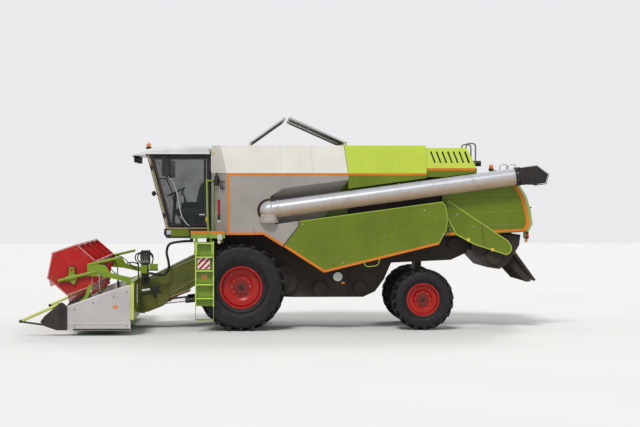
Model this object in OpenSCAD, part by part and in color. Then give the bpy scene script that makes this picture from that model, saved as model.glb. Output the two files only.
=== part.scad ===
// Combine harvester with a cutting header, reel, grain tank and swing-out unloading auger.
// Millimetres. X runs rearward, Y to the machine's right, Z up. Sizes along X are given
// from the front axle; the finished model is shifted so that its origin lies midway
// between the divider tips and the auger spout, on the ground.

/* [Wheels] */
// Distance between the front and rear axles
wheelbase = 3880; // [3700:10:4000]
// Diameter of the front tyres over their lugs
front_tyre_d = 1850; // [1750:10:1900]
// Width of the front tyres
front_tyre_w = 640; // [560:10:660]
// Diameter of the front rims
front_rim_d = 860; // [780:10:900]
// Distance between the centres of the front tyres
front_track = 2560; // [2540:10:2600]
// Diameter of the rear tyres over their lugs
rear_tyre_d = 1310; // [1200:10:1340]
// Width of the rear tyres
rear_tyre_w = 420; // [360:10:440]
// Diameter of the rear rims
rear_rim_d = 660; // [600:10:700]
// Distance between the centres of the rear tyres
rear_track = 2500; // [2460:10:2560]
// Height of the tyre lugs
lug_h = 42; // [30:1:50]
// Number of lugs on each side of a front tyre
front_lugs = 22; // [16:1:24]
// Number of lugs on each side of a rear tyre
rear_lugs = 20; // [16:1:22]

/* [Header] */
// Cutting width between the end panels
cut_w = 5280; // [4800:20:5400]
// Thickness of the header's end panels
end_t = 40; // [20:2:50]
// Front end of the header's end panels
end_front_x = -3550; // [-3600:10:-3450]
// Back wall of the header
header_back_x = -2230; // [-2280:10:-2200]
// Height of the header's back wall
header_top_z = 1040; // [950:10:1080]
// Height of the header's floor at its lowest
header_floor_z = 110; // [90:5:150]
// Front tips of the crop dividers
divider_tip_x = -4500; // [-4600:10:-4400]
// Diameter of the header auger over its flights
table_auger_d = 600; // [560:10:620]
// Diameter of the header auger's drum
table_drum_d = 330; // [280:10:360]
// Pitch of the header auger's flights
table_pitch = 560; // [450:10:640]
// Number of knife guards along the cutter bar
guard_count = 34; // [24:1:40]

/* [Reel] */
// Radius from the reel's axis to its tine bars
reel_r = 505; // [470:5:520]
// Gap between the reel's end plates and the header's end panels
reel_gap = 240; // [210:10:300]
// Number of tine bars
bar_count = 6; // [5:1:6]
// Number of tines on each bar
tine_count = 28; // [16:1:32]
// Length of the tines
tine_l = 190; // [150:5:220]
// Height of the reel's axis at rest
reel_z = 1345; // [1320:5:1380]
// Place of the reel's axis at rest
reel_x = -3480; // [-3520:10:-3440]
// Diameter of the reel's centre tube
reel_tube_d = 160; // [120:5:180]

/* [Feeder house] */
// Outside width of the feeder house
feeder_w = 1380; // [1200:10:1400]
// Pivot of the feeder house behind the front axle
feeder_pivot_x = 150; // [120:5:180]
// Height of the feeder house's pivot
feeder_pivot_z = 1660; // [1640:5:1680]
// Depth of the feeder house at its pivot
feeder_depth = 520; // [460:10:540]

/* [Cab] */
// Width of the cab
cab_w = 1860; // [1700:10:1880]
// Height of the cab's floor
cab_floor_z = 2160; // [2140:5:2200]
// Height of the underside of the cab's roof
cab_roof_z = 3765; // [3700:5:3800]
// Front of the cab at its floor
cab_front_x = -1610; // [-1650:10:-1560]
// How far the windscreen leans forward at its top
screen_lean = 420; // [300:10:450]
// Back wall of the cab
cab_back_x = -680; // [-720:5:-665]
// Width of the cab's posts
post_w = 60; // [45:1:80]
// Thickness of the cab's glass
glass_t = 8; // [5:1:12]
// Thickness of the cab's roof at its middle
roof_t = 175; // [140:5:200]

/* [Body] */
// Width of the machine's body over its side panels
body_w = 3000; // [2900:10:3020]
// Width of the body where it narrows behind the side panels
core_w = 2360; // [2200:10:2380]
// Width of the threshing body between the wheels
thresher_w = 1600; // [1500:10:1640]
// Front edge of the side panels
body_front_x = -300; // [-330:5:-280]
// Bottom edge of the side panels at the front
body_low_z = 2040; // [2020:5:2080]
// Height of the fold where the side panels start to lean in
fold_z = 3350; // [3300:10:3400]
// Height of the body's top
body_top_z = 3945; // [3850:5:4000]
// How far each side leans in from the fold to the top
side_lean = 190; // [120:5:240]
// Seam between the grain tank and the engine hood
tank_back_x = 2280; // [2200:10:2350]
// Back end of the engine hood
hood_back_x = 3950; // [3850:10:4020]
// Back end of the slotted engine cover
cover_back_x = 5030; // [4900:10:5080]
// Thickness of the body's sheet walls
wall_t = 30; // [20:1:40]
// Back end of the straw hood
straw_back_x = 6190; // [6100:10:6250]
// Width of the straw hood
straw_w = 2560; // [2400:10:2600]

/* [Unloading auger] */
// Place of the unloading auger's elbow behind the front axle
elbow_x = 590; // [560:5:640]
// Height of the unloading auger's elbow
elbow_z = 2560; // [2540:5:2600]
// Sideways place of the unloading auger's tube
tube_y = -1470; // [-1480:5:-1465]
// Diameter of the unloading auger's tube
tube_d = 366; // [320:2:380]
// Length of the tube from the elbow to the spout
tube_l = 5390; // [5200:10:5450]
// Upward slope of the tube in degrees
tube_slope = 7.75; // [7:0.05:8.5]
// Length of the spout
spout_l = 620; // [500:10:680]

/* [Doors and ladder] */
// Thickness of the door frame
door_t = 40; // [30:1:45]
// Number of the ladder's fixed steps
step_count = 5; // [4:1:6]
// Width of the ladder
ladder_w = 400; // [340:10:420]
// Height of the ladder's top end
ladder_top_z = 1915; // [1880:5:1930]
// Distance between the ladder's steps
step_pitch = 290; // [260:5:300]

/* [Tank covers] */
// Front edge of the tank's opening
opening_front_x = 220; // [180:10:300]
// Rise of the front cover in degrees
front_cover_rise = 35.5; // [20:0.5:45]
// Rise of the rear cover in degrees
rear_cover_rise = 24; // [20:0.5:30]
// Length of the front cover
front_cover_l = 900; // [800:10:920]
// Length of the rear cover
rear_cover_l = 1300; // [1150:10:1310]

/* [Hidden] */
$fn = 48;

// Colours
leaf_green = "#5f7a12";
bright_green = "#8fb32a";
panel_grey = "#cfcdc6";
orange = "#c9781a";
wheel_red = "#b0100e";
rubber_black = "#1c1c1e";
frame_brown = "#2b221d";
tube_grey = "#b9bcc0";
dark_steel = "#38393b";

// Running clearance on a shaft's diameter, and the seat between two bodies
fit = 0.1;
seat_gap = 0.3;
// Overlap by which joined solids of one node enter each other
bite = 5;

front_r = front_tyre_d / 2;
rear_r = rear_tyre_d / 2;
half_body = body_w / 2;
half_core = core_w / 2;
half_thresher = thresher_w / 2;
spout_tip_x = elbow_x + (tube_l + spout_l) * cos(tube_slope);
origin_x = (divider_tip_x + spout_tip_x) / 2;

// Colours a node and moves it from the front axle's frame to the model's origin
module paint(c) color(c) translate([-origin_x, 0, 0]) children();

// An outline in X and Z, extruded along Y from y0 to y1
module slab(points, y0, y1)
    translate([0, y0, 0]) rotate([90, 0, 0]) mirror([0, 0, 1])
        linear_extrude(y1 - y0) polygon(points);

// An outline in Y and Z, extruded along X from x0 to x1
module section(points, x0, x1)
    translate([x0, 0, 0]) rotate([90, 0, 90]) linear_extrude(x1 - x0) polygon(points);

// A box between two corners
module block(a, b) translate(a) cube(b - a);

// The same form on the left and the right
module both() {
    children();
    mirror([0, 1, 0]) children();
}

// A form made for the right side, put on the given side: -1 left, 1 right
module on_side(side) {
    if (side < 0) mirror([0, 1, 0]) children();
    else children();
}

// A round bar along Y
module bar_y(x, z, d, y0, y1)
    translate([x, y0, z]) rotate([-90, 0, 0]) cylinder(d = d, h = y1 - y0);

// A round bar between two points
module link(p, q, d) {
    v = q - p;
    translate(p) rotate([0, acos(v[2] / norm(v)), atan2(v[1], v[0])])
        cylinder(d = d, h = norm(v));
}

// A bent tube through a list of points, with a ball in each bend
module pipe(points, d) {
    ball = 1.06;
    for (i = [1 : len(points) - 1]) link(points[i - 1], points[i], d);
    for (i = [1 : len(points) - 2]) translate(points[i]) sphere(d = d * ball);
}

// Points on an arc about c, from angle a0 to a1 in n steps, in an outline's own plane
function arc(c, r, a0, a1, n) =
    [for (i = [0 : n]) let (a = a0 + (a1 - a0) * i / n) c + r * [cos(a), sin(a)]];

// Where a line from p to q has the given x
function along(p, q, x) = p[1] + (q[1] - p[1]) * (x - p[0]) / (q[0] - p[0]);

// Tyres: a ring with a round tread and slanted lugs that meet at its middle
tyre_crown = 30;
bead_share = 0.38;
lip_h = 22;
lip_t = 10;
lug_skew = 40;
lug_t = 46;
lug_root = 70;

module tyre(r, w, rim_r, lugs, side) {
    tread = r - lug_h;
    mid = (tread + rim_r) / 2;
    half = w / 2;
    shoulder = half * 0.9;
    bead = w * bead_share - seat_gap;
    lip_r = rim_r + lip_h + seat_gap;
    outline = [[rim_r + seat_gap, -bead], [lip_r, -bead], [rim_r + lip_h * 1.4, -bead - lip_t],
        [mid - 30, -half * 0.99], [mid + 30, -half], [tread - tyre_crown * 2.4, -half * 0.97],
        [tread - tyre_crown, -shoulder], [tread - 8, -half * 0.5], [tread, -half * 0.15],
        [tread, half * 0.15], [tread - 8, half * 0.5], [tread - tyre_crown, shoulder],
        [tread - tyre_crown * 2.4, half * 0.97], [mid + 30, half], [mid - 30, half * 0.99],
        [rim_r + lip_h * 1.4, bead + lip_t], [lip_r, bead], [rim_r + seat_gap, bead]];
    rotate([90, 0, 0]) rotate_extrude() polygon(outline);
    intersection() {
        rotate([90, 0, 0]) cylinder(r = r, h = w - 4, center = true);
        for (row = [-1, 1], i = [0 : lugs - 1])
            rotate([0, (i + (row > 0 ? 0.5 : 0)) * 360 / lugs, 0])
                translate([0, 0, tread - lug_root]) rotate([0, 0, -row * lug_skew * side])
                    translate([-lug_t / 2, row > 0 ? -lug_t / 3 : -half / cos(lug_skew), 0])
                        cube([lug_t, half / cos(lug_skew) + lug_t / 3, lug_root + lug_h + 10]);
    }
}

// Rims: a barrel with two lips, a dished disc and a bolted hub; the disc lies towards +Y
barrel_t = 16;
dish = 0.1;
disc_t = 20;
hub_share = 0.34;
hub_l = 60;
bolt_d = 26;
bolt_h = 22;

module rim(rim_r, w, bolts) {
    half = w * bead_share;
    y0 = w * dish;
    hub_r = rim_r * hub_share;
    rotate([-90, 0, 0]) rotate_extrude() {
        translate([rim_r - barrel_t, -half]) square([barrel_t, half * 2]);
        for (y = [-half - lip_t, half])
            translate([rim_r - barrel_t, y]) square([barrel_t + lip_h, lip_t]);
        polygon([[0, y0], [rim_r * 0.55, y0], [rim_r * 0.68, y0 + 34], [rim_r * 0.9, y0 + 42],
            [rim_r - 2, y0 + 14], [rim_r - 2, y0 + 40], [rim_r * 0.9, y0 + 42 + disc_t],
            [rim_r * 0.66, y0 + 34 + disc_t], [rim_r * 0.53, y0 + disc_t], [0, y0 + disc_t]]);
    }
    bar_y(0, 0, hub_r * 2, y0 + disc_t - 1, y0 + disc_t + hub_l);
    bar_y(0, 0, hub_r * 0.8, y0 + disc_t, y0 + disc_t + hub_l + 26);
    for (i = [0 : bolts - 1]) rotate([0, i * 360 / bolts, 0])
        bar_y(hub_r * 1.32, 0, bolt_d, y0 + disc_t - 1, y0 + disc_t + bolt_h);
}

// Which side a wheel is on: -1 left, 1 right
module front_corner(side) translate([0, side * front_track / 2, front_r]) children();
module rear_corner(side) translate([wheelbase, side * rear_track / 2, rear_r]) children();

module front_tyre(side) paint(rubber_black)
    front_corner(side) tyre(front_r, front_tyre_w, front_rim_d / 2, front_lugs, side);
module rear_tyre(side) paint(rubber_black)
    rear_corner(side) tyre(rear_r, rear_tyre_w, rear_rim_d / 2, rear_lugs, -side);
module front_rim(side) paint(wheel_red)
    front_corner(side) on_side(side) rim(front_rim_d / 2, front_tyre_w, 10);
module rear_rim(side) paint(wheel_red)
    rear_corner(side) on_side(side) rim(rear_rim_d / 2, rear_tyre_w, 8);

// Axles
beam_half = 95;
drive_d = 500;
drive_y0 = 812;
drive_y1 = front_track / 2 - front_tyre_w / 2 - 30;
stub_d = 210;
front_seat_y = front_track / 2 + front_tyre_w * dish - seat_gap;
rear_seat_y = rear_track / 2 + rear_tyre_w * dish - seat_gap;
king_y = rear_track / 2 - rear_tyre_w / 2 - 90;
king_d = 60;
boss_d = 150;
boss_h = 200;
rear_beam = 70;
rear_bottom_z = 1420;

module axles() paint(frame_brown) {
    block([-110, -drive_y0, front_r - beam_half], [110, drive_y0, front_r + beam_half]);
    both() {
        bar_y(0, front_r, drive_d, drive_y0 - bite, drive_y1);
        bar_y(0, front_r, stub_d, drive_y1 - bite, front_seat_y);
        // Base pins of the lift cylinders in their brackets
        bar_y(lift_base[0], lift_base[1], lift_pin_d, lift_y - 60, lift_y + 60);
        for (y = [lift_y - 60, lift_y + lift_eye_t / 2 + 6])
            slab([[lift_base[0] - 45, lift_base[1] - 45], [lift_base[0] - 45, lift_base[1] + 60],
                [-108, front_r + 60], [-108, front_r - 90], [lift_base[0] + 60, lift_base[1] - 45]],
                y, y + 29);
    }
    difference() {
        union() {
            block([wheelbase - 80, -king_y, rear_r - rear_beam],
                [wheelbase + 80, king_y, rear_r + rear_beam]);
            both() translate([wheelbase, king_y, rear_r - boss_h / 2])
                cylinder(d = boss_d, h = boss_h);
        }
        both() translate([wheelbase, king_y, rear_r - boss_h])
            cylinder(d = king_d + fit, h = boss_h * 2);
    }
    hanger_z = rear_bottom_z + 25.5;
    translate([wheelbase, 0, 0]) section([[-380, hanger_z], [380, hanger_z],
        [130, rear_r + rear_beam - bite], [-130, rear_r + rear_beam - bite]], -70, 70);
    translate([wheelbase - 150, 0, rear_r + rear_beam + 60]) rotate([0, 90, 0])
        cylinder(d = 90, h = 300);
}

// Knuckles: a fork on the kingpin, the spindle and the arm for the tie rod
fork_z = boss_h / 2 + seat_gap;
fork_t = 36;
arm_x = 200;
arm_y = king_y - 15;
spindle_d = 110;
tie_d = 40;
tie_z = rear_r - fork_z - fork_t - seat_gap - tie_d / 2;

module knuckle(side) paint(frame_brown) on_side(side) {
    plate_y = king_y + boss_d / 2 + 6;
    translate([wheelbase, king_y, rear_r - fork_z - fork_t])
        cylinder(d = king_d, h = (fork_z + fork_t) * 2);
    for (z = [-fork_z - fork_t, fork_z])
        block([wheelbase - 65, king_y - 60, rear_r + z],
            [wheelbase + 65, plate_y + bite, rear_r + z + fork_t]);
    block([wheelbase - 65, plate_y, rear_r - fork_z - fork_t],
        [wheelbase + 65, plate_y + 30, rear_r + fork_z + fork_t]);
    bar_y(wheelbase, rear_r, spindle_d, plate_y + bite, rear_seat_y);
    block([wheelbase + 60, arm_y - 30, rear_r - fork_z - fork_t],
        [wheelbase + arm_x + 35, arm_y + 30, rear_r - fork_z]);
}

module tie_rod() paint(dark_steel) {
    bar_y(wheelbase + arm_x, tie_z, tie_d, -arm_y, arm_y);
    both() translate([wheelbase + arm_x, arm_y, tie_z - tie_d / 2])
        cylinder(d = 70, h = tie_d);
}

// Chassis: the threshing body, the core behind the side panels and the cheeks round the feeder
cheek_t = 60;
cab_low_z = 1960;
deck_z = 2950;
core_back_x = 4290;
thresher_back_x = 4900;
belly_z = 680;
rest_z = front_r + beam_half + seat_gap;
frame_top_z = body_low_z - seat_gap;
thresher_outline = [[460, frame_top_z], [460, 810], [560, 700], [1130, belly_z], [2640, belly_z],
    [2900, 800], [3090, 1060], [3250, rear_bottom_z], [4550, rear_bottom_z + 60],
    [thresher_back_x, 1640], [thresher_back_x, frame_top_z]];
cheek_outline = [[-750, cab_low_z - seat_gap], [-750, 1760], [-430, 1300], [-180, rest_z],
    [200, rest_z], [470, 810], [470, frame_top_z], [-640, frame_top_z],
    [-640, cab_low_z - seat_gap]];
disc_x = 2090;
disc_z = 1120;

module chassis() paint(frame_brown) {
    slab(thresher_outline, -half_thresher, half_thresher);
    both() slab(cheek_outline, half_thresher - cheek_t, half_thresher);
    block([tank_back_x, -half_core, body_low_z - bite], [core_back_x, half_core, deck_z]);
    // Side gussets that carry the panels, one behind each axle and one amidships
    both() for (x = [1500, 2700, 3600])
        block([x, half_thresher - bite, 1700],
            [x + 40, half_core - 20, x < tank_back_x ? frame_top_z : body_low_z + bite]);
    both() {
        // Cleaning fan's housing and inlet, and the elevators' lower ends
        bar_y(900, 1050, 640, half_thresher - bite, half_thresher + 70);
        bar_y(900, 1050, 300, half_thresher, half_thresher + 95);
        bar_y(disc_x - 380, 860, 300, half_thresher - bite, half_thresher + 110);
        bar_y(2560, 900, 260, half_thresher - bite, half_thresher + 90);
        // Ribs of the lower side walls
        for (x = [1330, 2330]) block([x, half_thresher - bite, belly_z + 40],
            [x + 50, half_thresher + 30, 1700]);
    }
    // Round plate stand-off on the left and its twin on the right
    both() bar_y(disc_x, disc_z, 216, half_thresher - bite, half_thresher + 30);
    panel_pins([panel_hinge_xs[1], panel_hinge_xs[2]]);
    feeder_pivots();
}

// Hitch: a clevis on the rear axle's beam, with a bore for a drawbar's pin
hitch_x = wheelbase + 700;
hitch_bore = 32;
hitch_gap = 60;
hitch_ear = 26;
hitch_w = 110;

module hitch() paint(dark_steel) difference() {
    union() {
        block([wheelbase + 80 + seat_gap, -hitch_w / 2, rear_r - 60],
            [wheelbase + 560, hitch_w / 2, rear_r + 60]);
        for (z = [-hitch_gap / 2 - hitch_ear, hitch_gap / 2]) {
            block([wheelbase + 500, -hitch_w / 2, rear_r + z],
                [hitch_x, hitch_w / 2, rear_r + z + hitch_ear]);
            translate([hitch_x, 0, rear_r + z]) cylinder(d = hitch_w, h = hitch_ear);
        }
    }
    translate([hitch_x, 0, rear_r - 200]) cylinder(d = hitch_bore, h = 400);
}

// Platform beside the cab, with its edge plates, gate pole and rail
platform_front_x = -1060;
platform_y = 1600;
platform_top_z = 2085;
edge_top_z = 2125;
edge_t = 30;
pole_d = 34;

ladder_x = -970;
ladder_y = -platform_y - 95;
ladder_depth = 60;
hinge_d = 40;
hinge_x = ladder_x - 5;
hinge_y = ladder_y + ladder_depth / 2 + hinge_d / 2 - 4;
hinge_h = 60;
hinge_step = 200;

module platform() paint(leaf_green) {
    inner = cab_w / 2 + 10;
    // Hinge pin for the ladder, held between its two barrels
    pin_low = ladder_top_z - hinge_step + 5;
    translate([hinge_x, hinge_y, ladder_top_z - hinge_step - hinge_h - 8])
        cylinder(d = hinge_d / 2, h = hinge_step + hinge_h + 14);
    block([hinge_x - 2, hinge_y - 6, pin_low],
        [hinge_x + 60, -platform_y + bite, ladder_top_z - hinge_h - 5]);
    block([hinge_x - 2, -platform_y, pin_low], [hinge_x + 60, -platform_y + edge_t, 1975]);
    block([platform_front_x, -platform_y, 2040], [body_front_x - 40, -inner, platform_top_z]);
    block([platform_front_x, -platform_y, 1970], [body_front_x - 40, -platform_y + edge_t, edge_top_z]);
    block([platform_front_x, -platform_y, 1970], [platform_front_x + edge_t, -inner, edge_top_z]);
    // Brackets from the deck to the chassis cheeks
    for (x = [-660, -430]) block([x, -platform_y + edge_t - 1, 1880],
        [x + 40, -half_thresher - seat_gap, 2041]);
    pipe([[-690, -platform_y - pole_d / 2 + bite, 1990], [-700, -platform_y - pole_d / 2 + bite, 2300],
        [-725, -platform_y - pole_d / 2 + bite, 3220]], pole_d);
    pipe([[-725, -platform_y - pole_d / 2 + bite, 3190], [-640, -platform_y + 60, 3190],
        [-585, -1130, 3190], [-585, -1130, 2060]], pole_d);
}

// Ladder: two rails, folded steps, a backing sheet and a hanging lower step
rail_w = 30;
ladder_low_z = ladder_top_z - step_pitch * step_count + 60;

module ladder() paint(bright_green) {
    depth = ladder_depth;
    for (x = [ladder_x, ladder_x + ladder_w - rail_w])
        block([x, ladder_y - depth / 2, ladder_low_z], [x + rail_w, ladder_y + depth / 2, ladder_top_z]);
    for (i = [0 : step_count - 1]) {
        z = ladder_top_z - 30 - i * step_pitch;
        block([ladder_x + rail_w - 1, ladder_y - 100, z - 30],
            [ladder_x + ladder_w - rail_w + 1, ladder_y + depth / 2, z]);
    }
    block([ladder_x + 5, ladder_y + depth / 2 - 1, ladder_low_z + 20],
        [ladder_x + ladder_w - 5, ladder_y + depth / 2 + 5, ladder_top_z - 20]);
    // Hanging lower step on two straps
    for (x = [ladder_x + 4, ladder_x + ladder_w - 16])
        block([x, ladder_y - 20, ladder_low_z - 250], [x + 12, ladder_y + 20, ladder_low_z + 5]);
    block([ladder_x + 4, ladder_y - 90, ladder_low_z - 280],
        [ladder_x + ladder_w - 4, ladder_y + 25, ladder_low_z - 250]);
    // Hinge barrels round the platform's pin
    for (z = [ladder_top_z - hinge_h, ladder_top_z - hinge_step - hinge_h])
        translate([hinge_x, hinge_y, z]) difference() {
            cylinder(d = hinge_d, h = hinge_h);
            translate([0, 0, -1]) cylinder(d = hinge_d / 2 + fit, h = hinge_h + 2);
        }
}

// Cab: a floor box, leaning front posts, upright rear posts and rails under the roof
half_cab = cab_w / 2;
cab_nose_x = cab_front_x - 50;
screen_top_x = cab_front_x - screen_lean;
// Foot and head of the front posts' line, in X and Z
post_foot = [cab_front_x, cab_floor_z];
post_head = [screen_top_x, cab_roof_z];
post_tilt = atan(screen_lean / (cab_roof_z - cab_floor_z));
rear_post_w = 90;
sill_h = 45;
rail_h = 50;

// The cab's side outline, moved in from every edge
function cab_side(front, back, low, high) = [
    [cab_front_x + front - low * tan(post_tilt), cab_floor_z + low],
    [screen_top_x + front + high * tan(post_tilt), cab_roof_z - high],
    [cab_back_x - back, cab_roof_z - high], [cab_back_x - back, cab_floor_z + low]];

module cab_shell() paint(dark_steel) {
    // Floor box with its rounded nose
    slab([[cab_nose_x, cab_low_z + 90], [cab_nose_x + 60, cab_low_z], [cab_back_x, cab_low_z],
        [cab_back_x, cab_floor_z], [cab_nose_x + 10, cab_floor_z]], -half_cab, half_cab);
    // Side frames, open for the door and the right window
    both() difference() {
        slab(cab_side(0, 0, -bite, 0), half_cab - post_w, half_cab);
        slab(cab_side(post_w, rear_post_w - 30, sill_h, rail_h), half_cab - post_w - 1, half_cab + 1);
    }
    // Cross rails over the windscreen and the back wall with its window
    slab([post_head + [0, -rail_h], post_head, post_head + [70, 0], post_head + [70, -rail_h]],
        -half_cab + bite, half_cab - bite);
    difference() {
        block([cab_back_x - 40, -half_cab + bite, cab_floor_z - bite],
            [cab_back_x, half_cab - bite, cab_roof_z]);
        block([cab_back_x - 50, -half_cab + 160, 2900], [cab_back_x + 10, half_cab - 160, cab_roof_z - 120]);
    }
    // Hinge pins for the door along the left front post
    for (t = hinge_places) translate(door_axis(t)) rotate([0, -post_tilt, 0]) {
        translate([0, 0, -16]) cylinder(d = door_pin_d, h = door_eye_h + 32);
        for (z = [-16, door_eye_h + 5]) translate([-26, -9, z]) cube([32, 50, 11]);
    }
}

// Door: hinged on the slanted front post; its axis lies outside the frame's corner
door_pin_d = 16;
door_eye_d = 34;
door_eye_h = 70;
door_gap = 8;
axis_out = 22;
hinge_places = [0.16, 0.8];
function door_axis(t) = [cab_front_x + post_w / 2 - screen_lean * t, -half_cab - axis_out,
    cab_floor_z + (cab_roof_z - cab_floor_z) * t];
door_low = 60;
door_frame_w = 55;

module cab_door() paint(dark_steel) {
    edge = post_w + door_gap;
    difference() {
        slab(cab_side(edge, edge, door_low, rail_h + door_gap), -half_cab, -half_cab + door_t);
        slab(cab_side(edge + door_frame_w, edge + door_frame_w, door_low + door_frame_w,
            rail_h + door_gap + door_frame_w), -half_cab - 1, -half_cab + door_t + 1);
    }
    for (t = hinge_places) translate(door_axis(t)) rotate([0, -post_tilt, 0]) difference() {
        union() {
            cylinder(d = door_eye_d, h = door_eye_h);
            translate([0, -door_eye_d / 2, 0]) cube([post_w / 2 + door_gap + 40, 14, door_eye_h]);
            translate([post_w / 2 + door_gap + 10, -door_eye_d / 2, 0])
                cube([30, axis_out + door_eye_d / 2 + bite, door_eye_h]);
        }
        translate([0, 0, -1]) cylinder(d = door_pin_d + fit, h = door_eye_h + 2);
    }
    // Grab rail bent down the outside of the door, which also carries the mirror's arm
    out = -half_cab - 75;
    pipe([[-1800, -half_cab + bite, 3240], [-1785, out, 3240], [-1600, out, 3240], [-1480, out, 2960],
        [-1430, out, 2640],
        [-1300, out, 2330], [-1250, -half_cab + bite, 2262]], 26);
    // Latch
    block([cab_back_x - 210, -half_cab - 40, 2420], [cab_back_x - 85, -half_cab + bite, 2450]);
}

module door_glass() paint("#2f4a44") {
    edge = post_w + door_gap + door_frame_w + seat_gap;
    slab(cab_side(edge, edge, door_low + door_frame_w + seat_gap,
        rail_h + door_gap + door_frame_w + seat_gap),
        -half_cab + door_t / 2 - glass_t / 2, -half_cab + door_t / 2 + glass_t / 2);
}

// Fixed glass: the leaning windscreen between its posts, the right side and the back window
module cab_glass() paint("#2f4a44") {
    inset = post_w + seat_gap;
    slab([post_foot + [14, seat_gap], [screen_top_x + 14 + rail_h * tan(post_tilt),
        cab_roof_z - rail_h - seat_gap],
        [screen_top_x + 14 + glass_t + rail_h * tan(post_tilt), cab_roof_z - rail_h - seat_gap],
        post_foot + [14 + glass_t, seat_gap]], -half_cab + inset, half_cab - inset);
    slab(cab_side(inset, rear_post_w - 30 + seat_gap, sill_h + seat_gap, rail_h + seat_gap),
        half_cab - 30, half_cab - 30 + glass_t);
    block([cab_back_x - 24, -half_cab + 160 + seat_gap, 2900 + seat_gap],
        [cab_back_x - 24 + glass_t, half_cab - 160 - seat_gap, cab_roof_z - 120 - seat_gap]);
}

// Roof: a crowned cap with a visor that reaches out over the windscreen
visor_x = screen_top_x - 330;
roof_y = half_cab + 70;
module cab_roof() paint(panel_grey) {
    top = cab_roof_z + roof_t;
    edge_in = 60;
    difference() {
        hull() {
        slab([[visor_x + 10, cab_roof_z - 40], [visor_x + 180, cab_roof_z + 78],
            [screen_top_x + 190, top - 40], [cab_back_x - 520, top], [cab_back_x - 40, top],
            [cab_back_x + 20, top - 50], [cab_back_x + 20, cab_roof_z + seat_gap],
            [screen_top_x, cab_roof_z + seat_gap]], -roof_y + edge_in, roof_y - edge_in);
        slab([[visor_x + 90, cab_roof_z - 20], [visor_x + 200, cab_roof_z + 40],
            [screen_top_x + 190, top - 95], [cab_back_x - 40, top - 60],
            [cab_back_x, cab_roof_z + seat_gap], [screen_top_x, cab_roof_z + seat_gap]],
            -roof_y, roof_y);
        }
        block([screen_top_x - 12, -roof_y - 1, cab_roof_z - 90],
            [cab_back_x + 30, roof_y + 1, cab_roof_z + seat_gap]);
    }
}

// Driver's seat on its pedestal
seat_x = -1130;
module seat() paint("#2a2c30") {
    translate([seat_x, 0, cab_floor_z + seat_gap]) {
        cylinder(d = 260, h = 300);
        translate([-30, 0, 290]) rounded_block([500, 500, 130], 40);
        translate([200, 0, 400]) rotate([0, 12, 0]) rounded_block([120, 460, 560], 40);
        for (y = [-290, 290]) translate([40, y, 520]) rounded_block([320, 60, 50], 20);
        for (y = [-290, 290]) translate([160, y, 330]) block([-20, -20, 0], [20, 20, 215]);
        translate([160, 0, 340]) block([-30, -300, 0], [30, 300, 40]);
    }
}

// A block with round upright corners, centred on its base
module rounded_block(size, r) linear_extrude(size[2]) {
    square([size[0] - 2 * r, size[1]], center = true);
    square([size[0], size[1] - 2 * r], center = true);
    for (x = [-1, 1], y = [-1, 1]) translate([x * (size[0] / 2 - r), y * (size[1] / 2 - r)])
        circle(r = r);
}

// Steering column with its wheel, and the console beside the seat
wheel_r = 200;
module steering_column() paint("#202224") {
    floor_z = cab_floor_z + seat_gap;
    foot = [-1500, 0, floor_z + 60];
    head = [-1440, 0, 2950];
    translate([foot[0], 0, floor_z]) rounded_block([140, 220, 120], 30);
    link(foot, head, 70);
    translate(head) rotate([0, -25, 0]) {
        rotate_extrude() translate([wheel_r, 0]) circle(r = 16);
        for (a = [90, 210, 330]) rotate([0, 90, a]) cylinder(d = 18, h = wheel_r);
        cylinder(d = 90, h = 40, center = true);
    }
    block([-1330, 380, floor_z], [-820, 620, cab_floor_z + 560]);
    translate([-1250, 500, cab_floor_z + 555]) cylinder(d1 = 60, d2 = 34, h = 130);
}

// Mirrors: a housing on a bent arm
mirror_h = 370;
module mirror_head(c) translate(c) rotate([0, 0, 40]) translate([-20, -120, -mirror_h])
    cube([45, 240, mirror_h]);
module mirror_left() paint(dark_steel) {
    mirror_head([-1600, -half_cab - 290, 3660]);
    pipe([[-1690, -half_cab - seat_gap, 3690], [-1690, -half_cab - 200, 3690],
        [-1620, -half_cab - 270, 3690], [-1605, -half_cab - 285, 3600]], 24);
}
module mirror_right() paint(dark_steel) {
    mirror([0, 1, 0]) mirror_head([-1600, -half_cab - 290, 3660]);
    pipe([[-1690, half_cab + seat_gap, 3725], [-1690, half_cab + 200, 3725],
        [-1620, half_cab + 270, 3700], [-1605, half_cab + 285, 3600]], 24);
}

// Upper body: one outline for the grain tank and the engine hood, cut for the tube's groove
lean_y = half_body - side_lean;
body_outline = [[-half_body, body_low_z], [-half_body, fold_z], [-lean_y, body_top_z],
    [lean_y, body_top_z], [half_body, fold_z], [half_body, body_low_z]];
corner_x = body_front_x;
corner_back = 340;
corner_in = 480;
// Heights over the tube's line of the groove's outer and inner edges, and of the panels' top
groove_out = 420;
hood_groove_out = 215;
groove_in = 205;
panel_drop = tube_d / 2 + 130;
swing_gap = 36;
recess_r = 300;
seam_x = elbow_x - 320;

function tube_line(x) = elbow_z + (x - elbow_x) * tan(tube_slope);

// What is cut away outside the core: all below the tube's groove, on one side
module side_cut(x0, x1, y_in, rise) slab([[x0, body_low_z - 50], [x0, tube_line(x0) + rise],
    [x1, tube_line(x1) + rise], [x1, body_low_z - 50]], y_in, half_body + 50);

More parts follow.
